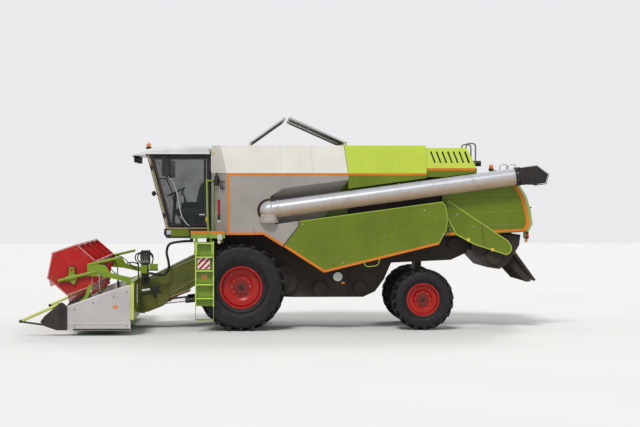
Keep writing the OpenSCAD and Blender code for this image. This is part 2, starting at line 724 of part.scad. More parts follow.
// The tube's groove: its roof slopes up to the skin, and starts at a slanting front edge
module groove(x1, out) mirror([0, 1, 0]) {
    root = half_core + 12;
    side_cut(seam_x, x1, half_core, groove_in - 8);
    bar_y(elbow_x, elbow_z, recess_r * 2, half_core, half_body + 50);
    intersection() {
        translate([elbow_x, 0, elbow_z]) rotate([0, -tube_slope, 0]) rotate([90, 0, 90])
            linear_extrude(x1 - elbow_x + 400) polygon([[root, 0], [root, groove_in],
                [half_body + 20, out + 15], [half_body + 20, 0]]);
        slab([[elbow_x - 80, elbow_z + 50], [elbow_x - 80, elbow_z + 226],
            [elbow_x + 660, elbow_z + 697], [x1, elbow_z + 1300], [x1, elbow_z + 50]],
            half_core - 1, half_body + 30);
    }
}

module body_block(x0, x1, out) difference() {
    section(body_outline, x0, x1);
    groove(x1 + 50, out);
    side_cut(seam_x, x1 + 50, half_core, swing_gap - panel_drop);
}

tank_floor_z = 2330;
skin_back_x = 1215;
module grain_tank() paint(panel_grey) {
    x0 = corner_x - corner_back;
    difference() {
        intersection() {
            body_block(x0, tank_back_x - seat_gap, groove_out);
            linear_extrude(body_top_z) polygon([[x0, -half_body + corner_in],
                [corner_x, -half_body], [tank_back_x, -half_body], [tank_back_x, half_body],
                [corner_x, half_body], [x0, half_body - corner_in]]);
        }
        block([x0 - 1, -half_body, body_low_z - 1],
            [body_front_x - 40 + seat_gap, half_body, platform_top_z + seat_gap]);
        // Hopper: sloping floors to the middle and the rectangular opening at the top
        section([[-90, tank_floor_z], [90, tank_floor_z], [half_core - wall_t, 3060],
            [half_body - wall_t - 10, 3290], [half_body - wall_t - 10, fold_z],
            [lean_y - wall_t, body_top_z + 20], [-lean_y + wall_t, body_top_z + 20],
            [-half_body + wall_t + 10, fold_z], [-half_body + wall_t + 10, 3290],
            [-half_core + wall_t, 3060]], opening_front_x, tank_back_x - wall_t * 2);
    }
    lid_pins(front_lid_x);
    lid_pins(rear_lid_x);
    panel_pins([panel_hinge_xs[0]]);
    auger_seat();
    // Front ends of the side skins below the tube, with the shelves that carry them
    both() {
        slab([[seam_x + 10, body_low_z + 5], [elbow_x - 120, body_low_z + 5],
            [elbow_x + 290, body_low_z - 250], [skin_back_x, panel_top(skin_back_x) - 112],
            [skin_back_x, panel_top(skin_back_x)], [seam_x + 10, panel_top(seam_x + 10)]],
            half_body - wall_t, half_body);
        slab([[seam_x + 10, panel_top(seam_x + 10) - 20], [skin_back_x - 15, panel_top(skin_back_x) - 20],
            [skin_back_x - 15, panel_top(skin_back_x - 15)], [seam_x + 10, panel_top(seam_x + 10)]],
            half_core - bite, half_body - 1);
    }
    // Unloading auger's trough along the hopper's floor
    difference() {
        block([opening_front_x - bite, -100, tank_floor_z + 110],
            [tank_back_x - wall_t, 100, tank_floor_z + 125]);
        for (x = [opening_front_x + 200 : 420 : tank_back_x - 200])
            block([x, -70, tank_floor_z + 100], [x + 120, 70, tank_floor_z + 130]);
    }
}

// Line of the side panels' top edge
function panel_top(x) = tube_line(x) - panel_drop;

module engine_hood() paint(bright_green) difference() {
    body_block(tank_back_x, hood_back_x, hood_groove_out);
    block([tank_back_x - 1, -half_core - seat_gap, body_low_z - 60],
        [hood_back_x + 1, half_core + seat_gap, deck_z + seat_gap]);
    section([[-half_core + wall_t, deck_z - 1], [-half_core + wall_t, 3330],
        [-half_body + wall_t + 30, fold_z + 40], [-lean_y + wall_t + 30, body_top_z - wall_t],
        [lean_y - wall_t - 30, body_top_z - wall_t], [half_body - wall_t - 30, fold_z + 40],
        [half_core - wall_t, 3330], [half_core - wall_t, deck_z - 1]],
        tank_back_x + wall_t, hood_back_x + 1);
}

// Slotted cover behind the hood, a little smaller all round, with a sloping back
cover_in = 50;
cover_low_z = 3270;
slot_count = 7;
slot_pitch = 122;
slot_w = 38;
slot_h = 260;
module engine_cover() paint(bright_green) {
    low = half_body - cover_in;
    top = lean_y - cover_in;
    top_z = body_top_z - cover_in;
    back_top_x = cover_back_x - 190;
    difference() {
        cover_form(low, top, top_z, back_top_x, 0);
        cover_form(low - wall_t, top - wall_t, top_z - wall_t, back_top_x - wall_t, wall_t);
        for (i = [0 : slot_count - 1])
            translate([hood_back_x + 170 + i * slot_pitch, 0, top_z - 330])
                rotate([0, -18, 0]) translate([0, -half_body, 0])
                    cube([slot_w, body_w, slot_h]);
        translate([hood_back_x, stack_y, stack_z]) rotate([0, 90, 0])
            cylinder(d = stack_d + 16, h = cover_back_x);
        along_tube() cylinder(d = tube_d + 40, h = tube_l);
    }
}
module cover_form(low, top, top_z, back_top_x, inset) intersection() {
    section([[-low, cover_low_z - inset], [-low, fold_z + 110], [-top, top_z], [top, top_z],
        [low, fold_z + 110], [low, cover_low_z - inset]], hood_back_x + seat_gap - inset, cover_back_x);
    slab([[hood_back_x - wall_t, cover_low_z - inset], [hood_back_x - wall_t, top_z],
        [back_top_x, top_z], [cover_back_x - inset, fold_z + 90],
        [cover_back_x - inset, cover_low_z - inset]], -half_body, half_body);
}

engine_back_x = 4150;
module engine() paint(dark_steel)
    block([2900, -520, deck_z + seat_gap], [engine_back_x, 520, 3720]);

// Exhaust: straight out of the engine through the cover's back
stack_d = 120;
stack_y = -440;
stack_z = 3580;
stack_back_x = 5150;
module exhaust() paint("#222222") translate([0, stack_y, stack_z]) rotate([0, 90, 0]) difference() {
    translate([0, 0, engine_back_x + seat_gap])
        cylinder(d = stack_d, h = stack_back_x - engine_back_x - seat_gap);
    translate([0, 0, stack_back_x - 150]) cylinder(d = stack_d - 20, h = 151);
}

// Tank covers: two lids that rise to a ridge, each hinged along its outer edge
cover_t = 34;
cover_half = lean_y - 60;
lid_z = body_top_z + 60;
lid_eye_d = 44;
lid_pin_d = 18;
lid_eye_h = 70;
lid_edge = 32;
lid_places = [220, cover_half - 130];
front_lid_x = opening_front_x - 30;
rear_lid_x = tank_back_x - 35;

module lid(l) {
    difference() {
        block([lid_edge, -cover_half, -cover_t / 2], [lid_edge + l, cover_half, cover_t / 2]);
        both() block([lid_edge + 50, 40, -cover_t],
            [lid_edge + l - 50, cover_half - 50, cover_t / 2 - 8]);
    }
    both() for (y = lid_places) difference() {
        union() {
            bar_y(0, 0, lid_eye_d, y, y + lid_eye_h);
            block([0, y, -cover_t / 2], [lid_edge + bite, y + lid_eye_h, cover_t / 2]);
        }
        bar_y(0, 0, lid_pin_d + fit, y - 1, y + lid_eye_h + 1);
    }
}

module lid_pins(x) both() for (y = lid_places) {
    bar_y(x, lid_z, lid_pin_d, y - 30, y + lid_eye_h + 30);
    for (b = [y - 30, y + lid_eye_h + 6])
        block([x - 14, b, body_top_z - bite], [x + 14, b + 24, lid_z + 10]);
}

module front_cover() paint(panel_grey)
    translate([front_lid_x, 0, lid_z]) rotate([0, -front_cover_rise, 0]) lid(front_cover_l);
module rear_cover() paint(panel_grey)
    translate([rear_lid_x, 0, lid_z]) rotate([0, rear_cover_rise, 0]) mirror([1, 0, 0])
        lid(rear_cover_l);

// Straw hood: a rounded shell open below, with a slanting cover over each side's drive
straw_half = straw_w / 2;
hood_front_x = core_back_x + 15;
hood_top_z = cover_low_z - seat_gap;
hood_tail = 90;
skin_t = 26;
function straw_side(d) = [[hood_front_x, 2010 - (d > 0 ? 80 : 0)], [hood_front_x, hood_top_z - d],
    [cover_back_x + 5, hood_top_z - d], [5560 - d / 2, 3200 - d], [5905 - d, 3110 - d],
    [6060 - d, 2860 - d / 2], [6150 - d, 2560], [straw_back_x - d, 2260],
    [straw_back_x - 80 - d, 2100 - (d > 0 ? 80 : 0)]];

module straw_hood() paint(leaf_green) {
    difference() {
        hull() {
            slab(straw_side(0), -straw_half, straw_half);
            translate([hood_tail, 0, 0]) slab([for (p = straw_side(0)) [max(p[0], hood_front_x + 900), p[1]]],
                -straw_half + 170, straw_half - 170);
        }
        hull() {
            slab(straw_side(skin_t), -straw_half + skin_t, straw_half - skin_t);
            translate([hood_tail, 0, 0])
                slab([for (p = straw_side(skin_t)) [max(p[0], hood_front_x + 900), p[1]]],
                    -straw_half + 170, straw_half - 170);
        }
        block([hood_front_x - 1, -half_thresher - 30, 1900], [hood_front_x + 60, half_thresher + 30, 2080]);
    }
    // Side covers of the chopper's drive, with round lower ends
    both() slab(concat([[4390, 2770], [4450, 2770], [5720, 1915]], arc([5660, 1740], 150, 40, -80, 6),
        [[4990, 1820], [4600, 2030], [4390, 2420]]), straw_half - 1, straw_half + 24);
    // Hand rails on the top, and the posts for the tail lamps
    for (y = [-900, -560]) pipe([[5440, y, 3150], [5440, y, 3420], [5640, y, 3400], [5640, y, 3120]], 26);
    both() block([6080, straw_half - 160, 1960], [6110, straw_half - 20, 2200]);
}

// Chopper under the hood: its housing, the knife rotor's ends and the spreader with its fins
fin_count = 8;
fin_t = 8;
chop_half = 1130;
module chopper() paint(frame_brown) {
    top = 2035;
    slab([[4960, top], [4960, 1700], [5080, 1560], [5300, 1330], [5560, 1290], [5760, 1420],
        [5990, 1800], [6020, top]], -chop_half, chop_half);
    // Arms from the threshing body to the housing
    both() slab([[thresher_back_x + seat_gap, 1700], [thresher_back_x + seat_gap, 1950], [4965, 1950],
        [4965, 1720]], half_thresher - 60, half_thresher - 20);
    // Spreader: a sloping lid over a fan of fins
    slab([[5700, 1420], [5900, 1680], [6350, 1060], [6330, 1030], [5880, 1610]], -chop_half, chop_half);
    for (i = [0 : fin_count - 1]) let (u = (i + 0.5) / fin_count * 2 - 1)
        translate([5740, u * (chop_half - 80), 0]) rotate([0, 0, u * 16])
            slab([[0, 1440], [120, 1590], [540, 1020], [420, 1010]], -fin_t / 2, fin_t / 2);
    both() {
        bar_y(5440, 1560, 330, chop_half - bite, chop_half + 60);
        bar_y(4600, 1830, 240, half_thresher + seat_gap, half_thresher + 60);
    }
}

// Side panels: hung by their top edges from a bar, so that they swing up and out
panel_axis_y = half_body - 60;
panel_axis_drop = 46;
panel_hinge_xs = [1500, 2800, 4050];
panel_pin_d = 20;
panel_eye_d = 44;
panel_eye_l = 90;
// The front edge is upright near the hinge, so that the open panel clears the fixed skin
panel_front_x = 1228;
panel_outline = [[panel_front_x, panel_top(panel_front_x)], [panel_front_x, panel_top(panel_front_x) - 117],
    [895, 1790], [1760, 1235], [4215, 1830],
    [4370, 2130], [4398, 2300], [4395, 2500], [4350, 2680], [4285, panel_top(4285)]];

// Place of a hinge on the panel's axis, at a distance along the machine
module panel_hinge(x) translate([x, panel_axis_y, panel_top(x) - panel_axis_drop])
    rotate([0, -tube_slope, 0]) rotate([0, 90, 0]) children();

module side_panel(side) paint(leaf_green) on_side(side) {
    slab(panel_outline, half_body - wall_t, half_body);
    // Return along the panel's top and stiffeners at the hinges
    for (x = panel_hinge_xs) panel_hinge(x) difference() {
        union() {
            translate([0, 0, -panel_eye_l / 2]) cylinder(d = panel_eye_d, h = panel_eye_l);
            translate([-12, 0, -panel_eye_l / 2])
                cube([24, half_body - panel_axis_y - wall_t + bite, panel_eye_l]);
        }
        translate([0, 0, -panel_eye_l]) cylinder(d = panel_pin_d + fit, h = panel_eye_l * 2);
    }
}
module panel_pins(xs) both() for (x = xs) panel_hinge(x) {
    translate([0, 0, -panel_eye_l / 2 - 30]) cylinder(d = panel_pin_d, h = panel_eye_l + 60);
    for (z = [-panel_eye_l / 2 - 30, panel_eye_l / 2 + 6]) translate([-11, half_core - panel_axis_y - 40, z])
        cube([22, panel_axis_y - half_core + 40 + 9, 24]);
}

// Unloading auger: a domed elbow over the swing bearing, then the long tube
swing_y = tube_y;
elbow_d = 396;
elbow_drop = 200;
module along_tube() translate([elbow_x, swing_y, elbow_z]) rotate([0, 90 - tube_slope, 0]) children();
module unloading_auger() paint(tube_grey) {
    difference() {
        union() {
            along_tube() cylinder(d = tube_d, h = tube_l);
            translate([elbow_x, swing_y, elbow_z]) sphere(d = elbow_d);
            translate([elbow_x, swing_y, elbow_z - elbow_drop]) cylinder(d = tube_d, h = elbow_drop);
            translate([elbow_x, swing_y, elbow_z - elbow_drop]) cylinder(d = tube_d + 40, h = 30);
            along_tube() translate([0, 0, 190]) cylinder(d = tube_d + 26, h = 26);
            along_tube() translate([0, 0, tube_l * 0.52]) cylinder(d = tube_d + 16, h = 30);
        }
        along_tube() translate([0, 0, tube_l - 500]) cylinder(d = tube_d - 12, h = 600);
    }
    // Auger's shaft, seen in the mouth
    along_tube() translate([0, 0, tube_l - 502]) cylinder(d = 70, h = 430);
}
// Swing bearing under the elbow, carried by the core
module auger_seat() {
    top = elbow_z - elbow_drop - seat_gap;
    translate([elbow_x, swing_y, top - 60]) cylinder(d = tube_d + 40, h = 60);
    block([elbow_x - 130, swing_y, top - 60], [elbow_x + 130, -half_core + bite, top]);
}

// Spout: a dark sleeve bent down at the tube's end
module auger_spout() paint("#3a3134") along_tube() translate([0, 0, tube_l + seat_gap]) {
    wide = tube_d + 12;
    difference() {
        slab_local(wide, 0);
        slab_local(wide - 24, 2);
    }
    // Collar that clips round the tube's end
    difference() {
        translate([0, 0, -90]) cylinder(d = tube_d + 30, h = 100);
        translate([0, 0, -100]) cylinder(d = tube_d + 2 * seat_gap, h = 120);
    }
}
// The spout's outline in the tube's own frame: its length along Z, down along X
module slab_local(w, out) translate([0, w / 2, 0]) rotate([90, 0, 0]) linear_extrude(w)
    polygon([[-w / 2, -out], [-w / 2, spout_l * 0.62], [-w / 2 + 60, spout_l * 0.72],
        [w * 0.1, spout_l + out], [w * 0.62 + out, spout_l * 0.86 + out],
        [w * 0.62 + out, spout_l * 0.55 - out], [w / 2, spout_l * 0.2 - out], [w / 2, -out]]);

// Lamps: two beacons, work lights under the visor and the tail lamps
module beacon(p) translate(p) {
    cylinder(d = 110, h = 40);
    translate([0, 0, 39]) cylinder(d = 90, h = 60);
    translate([0, 0, 95]) sphere(d = 92);
}
module lamps() paint(orange) {
    beacon([-1990, -760, cab_roof_z + 119.4]);
    beacon([5440, -730, 3420]);
    link([5440, -730, 3244.8], [5440, -730, 3425], 30);
    both() {
        for (y = [300, 640]) {
            translate([visor_x + 60, y, cab_roof_z - 105]) rotate([0, 90, 0]) cylinder(d = 130, h = 90);
            block([visor_x + 95, y - 12, cab_roof_z - 60], [visor_x + 125, y + 12, cab_roof_z - 38.3]);
        }
        tail_x = 6110 + seat_gap;
        block([tail_x, straw_half - 190, 1950], [tail_x + 60, straw_half - 30, 2095]);
        block([tail_x, straw_half - 150, 1870], [tail_x + 46, straw_half - 70, 1951]);
    }
}

// Feeder house: a sloping channel that turns about its upper roller, open at the front
half_feeder = feeder_w / 2;
feeder_pivot = [feeder_pivot_x, feeder_pivot_z];
feeder_front_x = header_back_x + seat_gap;
neck = [[feeder_front_x, 1040], [-2020, 1090], [-1520, 1340], [-1010, 1590],
    [feeder_pivot_x - 90, feeder_pivot_z + feeder_depth / 2 - 18]];
throat = [[feeder_pivot_x + 140, feeder_pivot_z - feeder_depth / 2 + 40], [-1000, 926], [-1700, 485],
    [-2020, 360], [feeder_front_x, 360]];
mouth_half = half_feeder - 70;
mouth_low_z = 420;
mouth_high_z = 960;
mouth_depth = 400;
slat_count = 3;

// A part of the feeder house's outline between two heights and two planes
module feeder_part(x0, x1, z0, z1, y0, y1) intersection() {
    slab(concat(neck, throat), y0, y1);
    block([x0, y0 - 1, z0], [x1, y1 + 1, z1]);
}

module feeder_house() paint(leaf_green) {
    back_x = header_back_x + mouth_depth;
    roller_x = back_x - 20;
    inside = mouth_half - seat_gap;
    difference() {
        union() {
            feeder_part(back_x, feeder_pivot_x + 200, 300, 2000, -half_feeder, half_feeder);
            bar_y(feeder_pivot[0], feeder_pivot[1], feeder_depth, -half_feeder, half_feeder);
        }
        both() bar_y(feeder_pivot[0], feeder_pivot[1], pivot_d + fit, half_feeder - 90, half_feeder + 1);
    }
    // Walls, roof and floor of the mouth
    both() feeder_part(feeder_front_x, back_x - seat_gap, 300, 2000, mouth_half, half_feeder);
    feeder_part(feeder_front_x, back_x - seat_gap, mouth_high_z, 2000, -inside, inside);
    feeder_part(feeder_front_x, back_x - seat_gap, 300, mouth_low_z, -inside, inside);
    // Feed chains' lower roller and slats at the back of the mouth
    bar_y(roller_x, 620, 190, -inside, inside);
    for (i = [0 : slat_count - 1]) translate([roller_x, 0, 620])
        rotate([0, 60 + i * 55, 0]) block([-120, -inside + 1, -12], [-80, inside - 1, 12]);
    // Frame round the mouth, side shield and the header's drive shaft
    both() block([feeder_front_x, half_feeder - 1, 360],
        [header_back_x + 70, half_feeder + 60, 1090]);
    both() bar_y(-1860, 860, 210, half_feeder + seat_gap, half_feeder + 95);
    both() link([-1870, half_feeder + 62, 860], [header_back_x + 72, half_feeder + 62, 820], 44);
    // Brackets for the lift cylinders' rods
    eye_gap = lift_eye_t / 2 + seat_gap;
    both() for (y = [[half_feeder - 1, lift_y - eye_gap], [lift_y + eye_gap, lift_y + eye_gap + 20]])
        slab([[lift_eye[0] - 60, 640], [lift_eye[0] - 40, lift_eye[1] - 50],
            [lift_eye[0] + 45, lift_eye[1] - 50], [lift_eye[0] + 200, 640], [lift_eye[0] + 200, 760],
            [lift_eye[0] - 60, 760]], y[0], y[1]);
    both() block([lift_eye[0] - 60, half_feeder - 1, 660],
        [lift_eye[0] + 200, lift_y + eye_gap + 20, 759]);
}

// Pivot pins on the chassis cheeks
pivot_d = 120;
lift_y = half_feeder + 45;
lift_base = [-330, 700];
lift_eye = [-1750, 545];
lift_eye_t = 50;
lift_pin_d = 44;
module feeder_pivots() both()
    bar_y(feeder_pivot[0], feeder_pivot[1], pivot_d, half_feeder - 80, half_thresher - cheek_t + 1);

// Lift cylinders: barrels on the axle, rods out to the feeder house
lift_v = lift_eye - lift_base;
lift_len = norm(lift_v);
lift_tilt = atan2(lift_v[1], -lift_v[0]);
lift_barrel_l = 880;
lift_barrel_d = 110;
lift_rod_d = 48;
module lift_frame() translate([lift_base[0], lift_y, lift_base[1]])
    rotate([0, -90 + lift_tilt, 0]) children();
module lift_barrels() paint("#202020") both() lift_frame() difference() {
    union() {
        translate([0, 0, 60]) cylinder(d = lift_barrel_d, h = lift_barrel_l - 60);
        translate([0, lift_eye_t / 2, 0]) rotate([90, 0, 0]) cylinder(d = 100, h = lift_eye_t);
        translate([-30, -lift_eye_t / 2, 0]) cube([60, lift_eye_t, 70]);
    }
    translate([0, 100, 0]) rotate([90, 0, 0]) cylinder(d = lift_pin_d + fit, h = 200);
    translate([0, 0, 130]) cylinder(d = lift_rod_d + fit, h = lift_barrel_l);
}
module lift_rods() paint("#c8c8ca") both() lift_frame() {
    translate([0, 0, 460]) cylinder(d = lift_rod_d, h = lift_len - 460 - 30);
    translate([0, lift_eye_t / 2, lift_len]) rotate([90, 0, 0]) cylinder(d = 90, h = lift_eye_t);
}

// Header: a sheet trough behind the knife, swept up into the back wall
header_half = cut_w / 2;
inner_half = header_half - seat_gap;
reel_w = cut_w - 2 * reel_gap;
// Inner and outer face of the reel arms' plates, and the plane of the reel cylinders
arm_y0 = reel_w / 2 + 40;
arm_y1 = arm_y0 + 40;
ram_y = (arm_y1 + header_half) / 2;
table_x = -2660;
table_z = header_floor_z + 30 + table_auger_d / 2 + 15;
trough_r = table_auger_d / 2 + 30;
knife_x = end_front_x + 140;
trough_arc = arc([table_x, table_z], trough_r, 262, 355, 8);
trough_back = [header_back_x - 190, header_floor_z - 10];
wall_low_z = table_z + 20;
post_y = header_half - 60;

module rear_sheet(y0, y1) slab(concat([for (i = [4 : 8]) trough_arc[i] + [seat_gap, 0]],
    [[header_back_x - 60, wall_low_z], [header_back_x, wall_low_z], [header_back_x, table_z - 180],
    trough_back + [seat_gap, 0]]), y0, y1);

module header_frame() paint(leaf_green) {
    // Floor, then the trough in two sheets under the auger
    slab([[knife_x, header_floor_z], [knife_x, header_floor_z + 30], trough_arc[0] - [seat_gap, 0],
        [trough_arc[0][0] - seat_gap, header_floor_z - 10], [table_x - 100, header_floor_z - 10]],
        -inner_half, inner_half);
    slab(concat([for (i = [0 : 4]) trough_arc[i]], [trough_back, [trough_arc[0][0], header_floor_z - 10]]),
        -inner_half, inner_half);
    // The trough's rear sheet goes on below the mouth, and stops at the posts
    difference() {
        rear_sheet(-mouth_half, mouth_half);
        block([header_back_x - 200, -mouth_half - 1, mouth_low_z],
            [header_back_x + 10, mouth_half + 1, mouth_high_z]);
    }
    both() difference() {
        rear_sheet(mouth_half + seat_gap, inner_half);
        block([header_back_x - 30 - seat_gap, post_y - seat_gap, 300],
            [header_back_x + 10, header_half, wall_low_z + 1]);
    }
    // Back wall on both sides of the mouth, top tube and the upright posts at both ends
    both() block([header_back_x - 60, mouth_half, wall_low_z + seat_gap],
        [header_back_x - 30 - seat_gap, inner_half, header_top_z - 60 - seat_gap]);
    block([header_back_x - 110, -post_y + seat_gap, header_top_z - 60],
        [header_back_x, post_y - seat_gap, header_top_z + 40]);
    both() block([header_back_x - 30, post_y, 330],
        [header_back_x + 40, header_half + end_t, header_top_z + 40]);
    // Stub shafts that the auger turns on
    both() bar_y(table_x, table_z, 70, table_half + seat_gap, inner_half);
    // Curved crop guides inside the panels' front ends
    both() slab([[-3500, 640], [-3330, 690], [-3200, 800], [-3110, 1050], [-3060, 1060], [-3040, 1000],
        [-3120, 800], [-3200, 690], [-3330, 600]], header_half - 22, inner_half);
    // Reel arms' pivots and the reel cylinders' base pins
    both() {
        for (y = [arm_y0 - 34, arm_y1 + 6]) slab([[reel_pivot[0] - 40, header_top_z],
            reel_pivot + [-30, 34], reel_pivot + [30, 34], [reel_pivot[0] + 60, header_top_z]], y, y + 28);
        bar_y(reel_pivot[0], reel_pivot[1], arm_pin_d, arm_y0 - 34, arm_y1 + 34);
        bar_y(reel_base[0], reel_base[1], ram_pin_d, ram_y - 26, inner_half);
    }
}

module header_ends() paint(panel_grey) both()
    slab([[end_front_x, 135], [end_front_x, 615], [-2900, 850], [-2350, 1035], [header_back_x - 31, 1040],
        [header_back_x - 31, header_floor_z], [-3430, header_floor_z]], header_half, header_half + end_t);

// Dividers: a dark wedge before each end panel and a bar that slopes down to the tip
module crop_dividers() paint("#23262b") both() {
    y = header_half + end_t / 2;
    hull() {
        slab([[end_front_x - seat_gap, 120], [end_front_x - seat_gap, 600], [-3660, 690], [-3720, 660],
            [-3760, 120]], y - 75, y + 45);
        slab([[-4020, 400], [-4100, 290], [-4000, 200]], y - 20, y + 20);
    }
    link([divider_tip_x, y, 300], [-3700, y, 655], 56);
    link([divider_tip_x + 10, y, 296], [-4010, y, 230], 40);
    translate([divider_tip_x, y, 300]) sphere(d = 62);
}

// Cutter bar: the knife's back and a row of pointed guards
guard_l = 110;
module cutter_bar() paint(dark_steel) {
    block([knife_x - 40, -inner_half, header_floor_z],
        [knife_x - seat_gap, inner_half, header_floor_z + 26]);
    for (i = [0 : guard_count - 1])
        translate([knife_x - 39, -header_half + (i + 0.5) * cut_w / guard_count, header_floor_z + 13])
            rotate([0, -90, 0]) linear_extrude(guard_l, scale = 0.25) square([22, 34], center = true);
}

// Header auger: a drum with a right-hand and a left-hand flight that meet in the middle
flight_t = 6;
flight_steps = 16;
table_half = ram_y - 50;
finger_half = 420;
function helix(r, y0, turns, hand, side) = [for (i = [0 : turns * flight_steps])
    let (a = hand * 360 * i / flight_steps)
    [r * cos(a), side * (y0 + table_pitch * i / flight_steps), r * sin(a)]];
module flight(side) {
    turns = floor((table_half - finger_half) / table_pitch * flight_steps) / flight_steps;
    n = turns * flight_steps;
    inner = helix(table_drum_d / 2 - 8, finger_half, turns, side, side);
    outer = helix(table_auger_d / 2, finger_half, turns, side, side);
    lift = [0, side * flight_t, 0];
    points = concat(inner, outer, [for (p = inner) p + lift], [for (p = outer) p + lift]);
    m = n + 1;
    faces = concat(
        [for (i = [0 : n - 1]) for (f = [[i, i + 1, m + i + 1, m + i],
            [2 * m + i, 3 * m + i, 3 * m + i + 1, 2 * m + i + 1],
            [m + i, m + i + 1, 3 * m + i + 1, 3 * m + i], [i, 2 * m + i, 2 * m + i + 1, i + 1]]) f],
        [[0, m, 3 * m, 2 * m], [n, 2 * m + n, 3 * m + n, m + n]]);
    polyhedron(points, faces);
}
module table_auger() paint(dark_steel) translate([table_x, 0, table_z]) {
    rotate([-90, 0, 0]) translate([0, 0, -table_half]) cylinder(d = table_drum_d, h = table_half * 2);
    for (side = [-1, 1]) flight(side);
    // Feed fingers in the middle
    for (i = [0 : 11]) rotate([0, i * 90 + (i % 2) * 45, 0])
        translate([0, (i - 5.5) * 62, table_drum_d / 2 - 10]) cylinder(d = 16, h = 130);
}

// Quick coupler for the header's hoses, on the feeder house
module hose_coupler() paint(dark_steel) {
    y = -half_feeder - 20;
    block([-2150, y - 90, 1000], [-1990, y + 20 - seat_gap, 1420]);
    block([-2170, y - 110, 1400], [-1960, y + 60, 1600]);
    for (i = [0 : 3]) let (x = -2140 + i * 50)
        pipe([[x, y - 100, 1450], [x - 20, y - 150, 1560], [x, y - 130, 1680], [x + 20, y - 40, 1690],
            [x + 10, y + 20, 1590]], 26);
}

// Reel arms: a plate, the slide tube and the upper stay on each side, joined at the pivots
arm_pin_d = 40;
reel_pivot = [-2320, 1150];
slide_tube = [[-3760, 1115], [-2960, 1310]];
slide_dir = (slide_tube[1] - slide_tube[0]) / norm(slide_tube[1] - slide_tube[0]);
slide_tilt = atan2(slide_dir[1], slide_dir[0]);
ram_pin_d = 28;
reel_base = [-2870, 330];
ram_eye = [-2905, 1235];
module reel_arms() paint(leaf_green) both() {
    difference() {
        slab([[-3150, 1225], [-3165, 1440], [-3080, 1470], [-2790, 1440], [-2700, 1290],
            reel_pivot + [-60, 62], reel_pivot + [45, 40], reel_pivot + [45, -45],
            reel_pivot + [-80, -40], [-2760, 1190]], arm_y0, arm_y1);
        bar_y(reel_pivot[0], reel_pivot[1], arm_pin_d + fit, arm_y0 - 1, arm_y1 + 1);
    }
    link([slide_tube[0][0], arm_y0 + 20, slide_tube[0][1]],
        [slide_tube[1][0], arm_y0 + 20, slide_tube[1][1]], 70);
    link([-3150, arm_y0 + 20, 1445], [-2480, arm_y0 + 20, 1600], 60);
    // Bearing disc for the cylinder's eye
    bar_y(ram_eye[0], ram_eye[1], 70, arm_y1 - bite, ram_y - 22 - seat_gap);
}

// Slides: a sleeve round each slide tube, the reel's bearing and its hanging stop plate
bearing_d = 110;
shaft_d = 60;
sleeve_l = 230;
module reel_slides() paint(leaf_green) both() {
    tube_at = [reel_x, arm_y0 + 20, along(slide_tube[0], slide_tube[1], reel_x)];
    difference() {
        union() {
            translate(tube_at) rotate([0, 90 - slide_tilt, 0]) translate([0, 0, -sleeve_l / 2])
                cylinder(d = 104, h = sleeve_l);
            slab([[reel_x - 60, tube_at[2] + 20], [reel_x - 50, reel_z + 50], [reel_x + 50, reel_z + 50],
                [reel_x + 70, tube_at[2] + 30]], arm_y0 - 2, arm_y0 + 46);
            slab([[reel_x - 70, tube_at[2] - 30], [reel_x + 110, tube_at[2] - 10],
                [reel_x + 60, tube_at[2] - 130], [reel_x + 20, tube_at[2] - 130]], arm_y0 + 6, arm_y0 + 30);
            bar_y(reel_x, reel_z, bearing_d, arm_y0 - 12, arm_y0 + 50);
        }
        translate(tube_at) rotate([0, 90 - slide_tilt, 0]) translate([0, 0, -sleeve_l])
            cylinder(d = 70 + fit, h = sleeve_l * 2);
        bar_y(reel_x, reel_z, shaft_d + fit, arm_y0 - 20, arm_y0 + 60);
    }
}

// Reel: closed end plates, open inner frames, tine bars with tines and the centre tube
plate_t = 14;
star_count = 3;
bar_d = 46;
tine_d = 16;
ring_w = 80;
rim_out = 34;
bar_phase = -19;
function reel_rim(r) = [for (i = [0 : bar_count - 1]) let (a = bar_phase + i * 360 / bar_count)
    r * [cos(a), -sin(a)]];
module reel() paint(wheel_red) translate([reel_x, 0, reel_z]) {
    half = reel_w / 2;
    bar_y(0, 0, reel_tube_d, -half + 2, half - 2);
    bar_y(0, 0, shaft_d, -arm_y0 - 48, arm_y0 + 48);
    both() slab(reel_rim(reel_r + rim_out), half - plate_t, half);
    for (s = [1 : star_count]) let (y = -half + s * reel_w / (star_count + 1)) {
        difference() {
            slab(reel_rim(reel_r + rim_out), y - 8, y + 8);
            slab(reel_rim(reel_r + rim_out - ring_w), y - 9, y + 9);
        }
        for (i = [0 : bar_count - 1]) rotate([0, bar_phase + i * 360 / bar_count, 0])
            block([0, y - 6, -20], [reel_r - bar_d / 2 - 2, y + 6, 20]);
    }
    for (i = [0 : bar_count - 1]) rotate([0, bar_phase + i * 360 / bar_count, 0]) {
        bar_y(reel_r, 0, bar_d, -half + 2, half - 2);
        // Tines hang down whatever the place of their bar, a little to the rear
        for (k = [0 : tine_count - 1])
            translate([reel_r, -half + (k + 0.5) * reel_w / tine_count, 0])
                rotate([0, 168 - bar_phase - i * 360 / bar_count, 0])
                    cylinder(d = tine_d, h = tine_l, $fn = 5);
    }
}

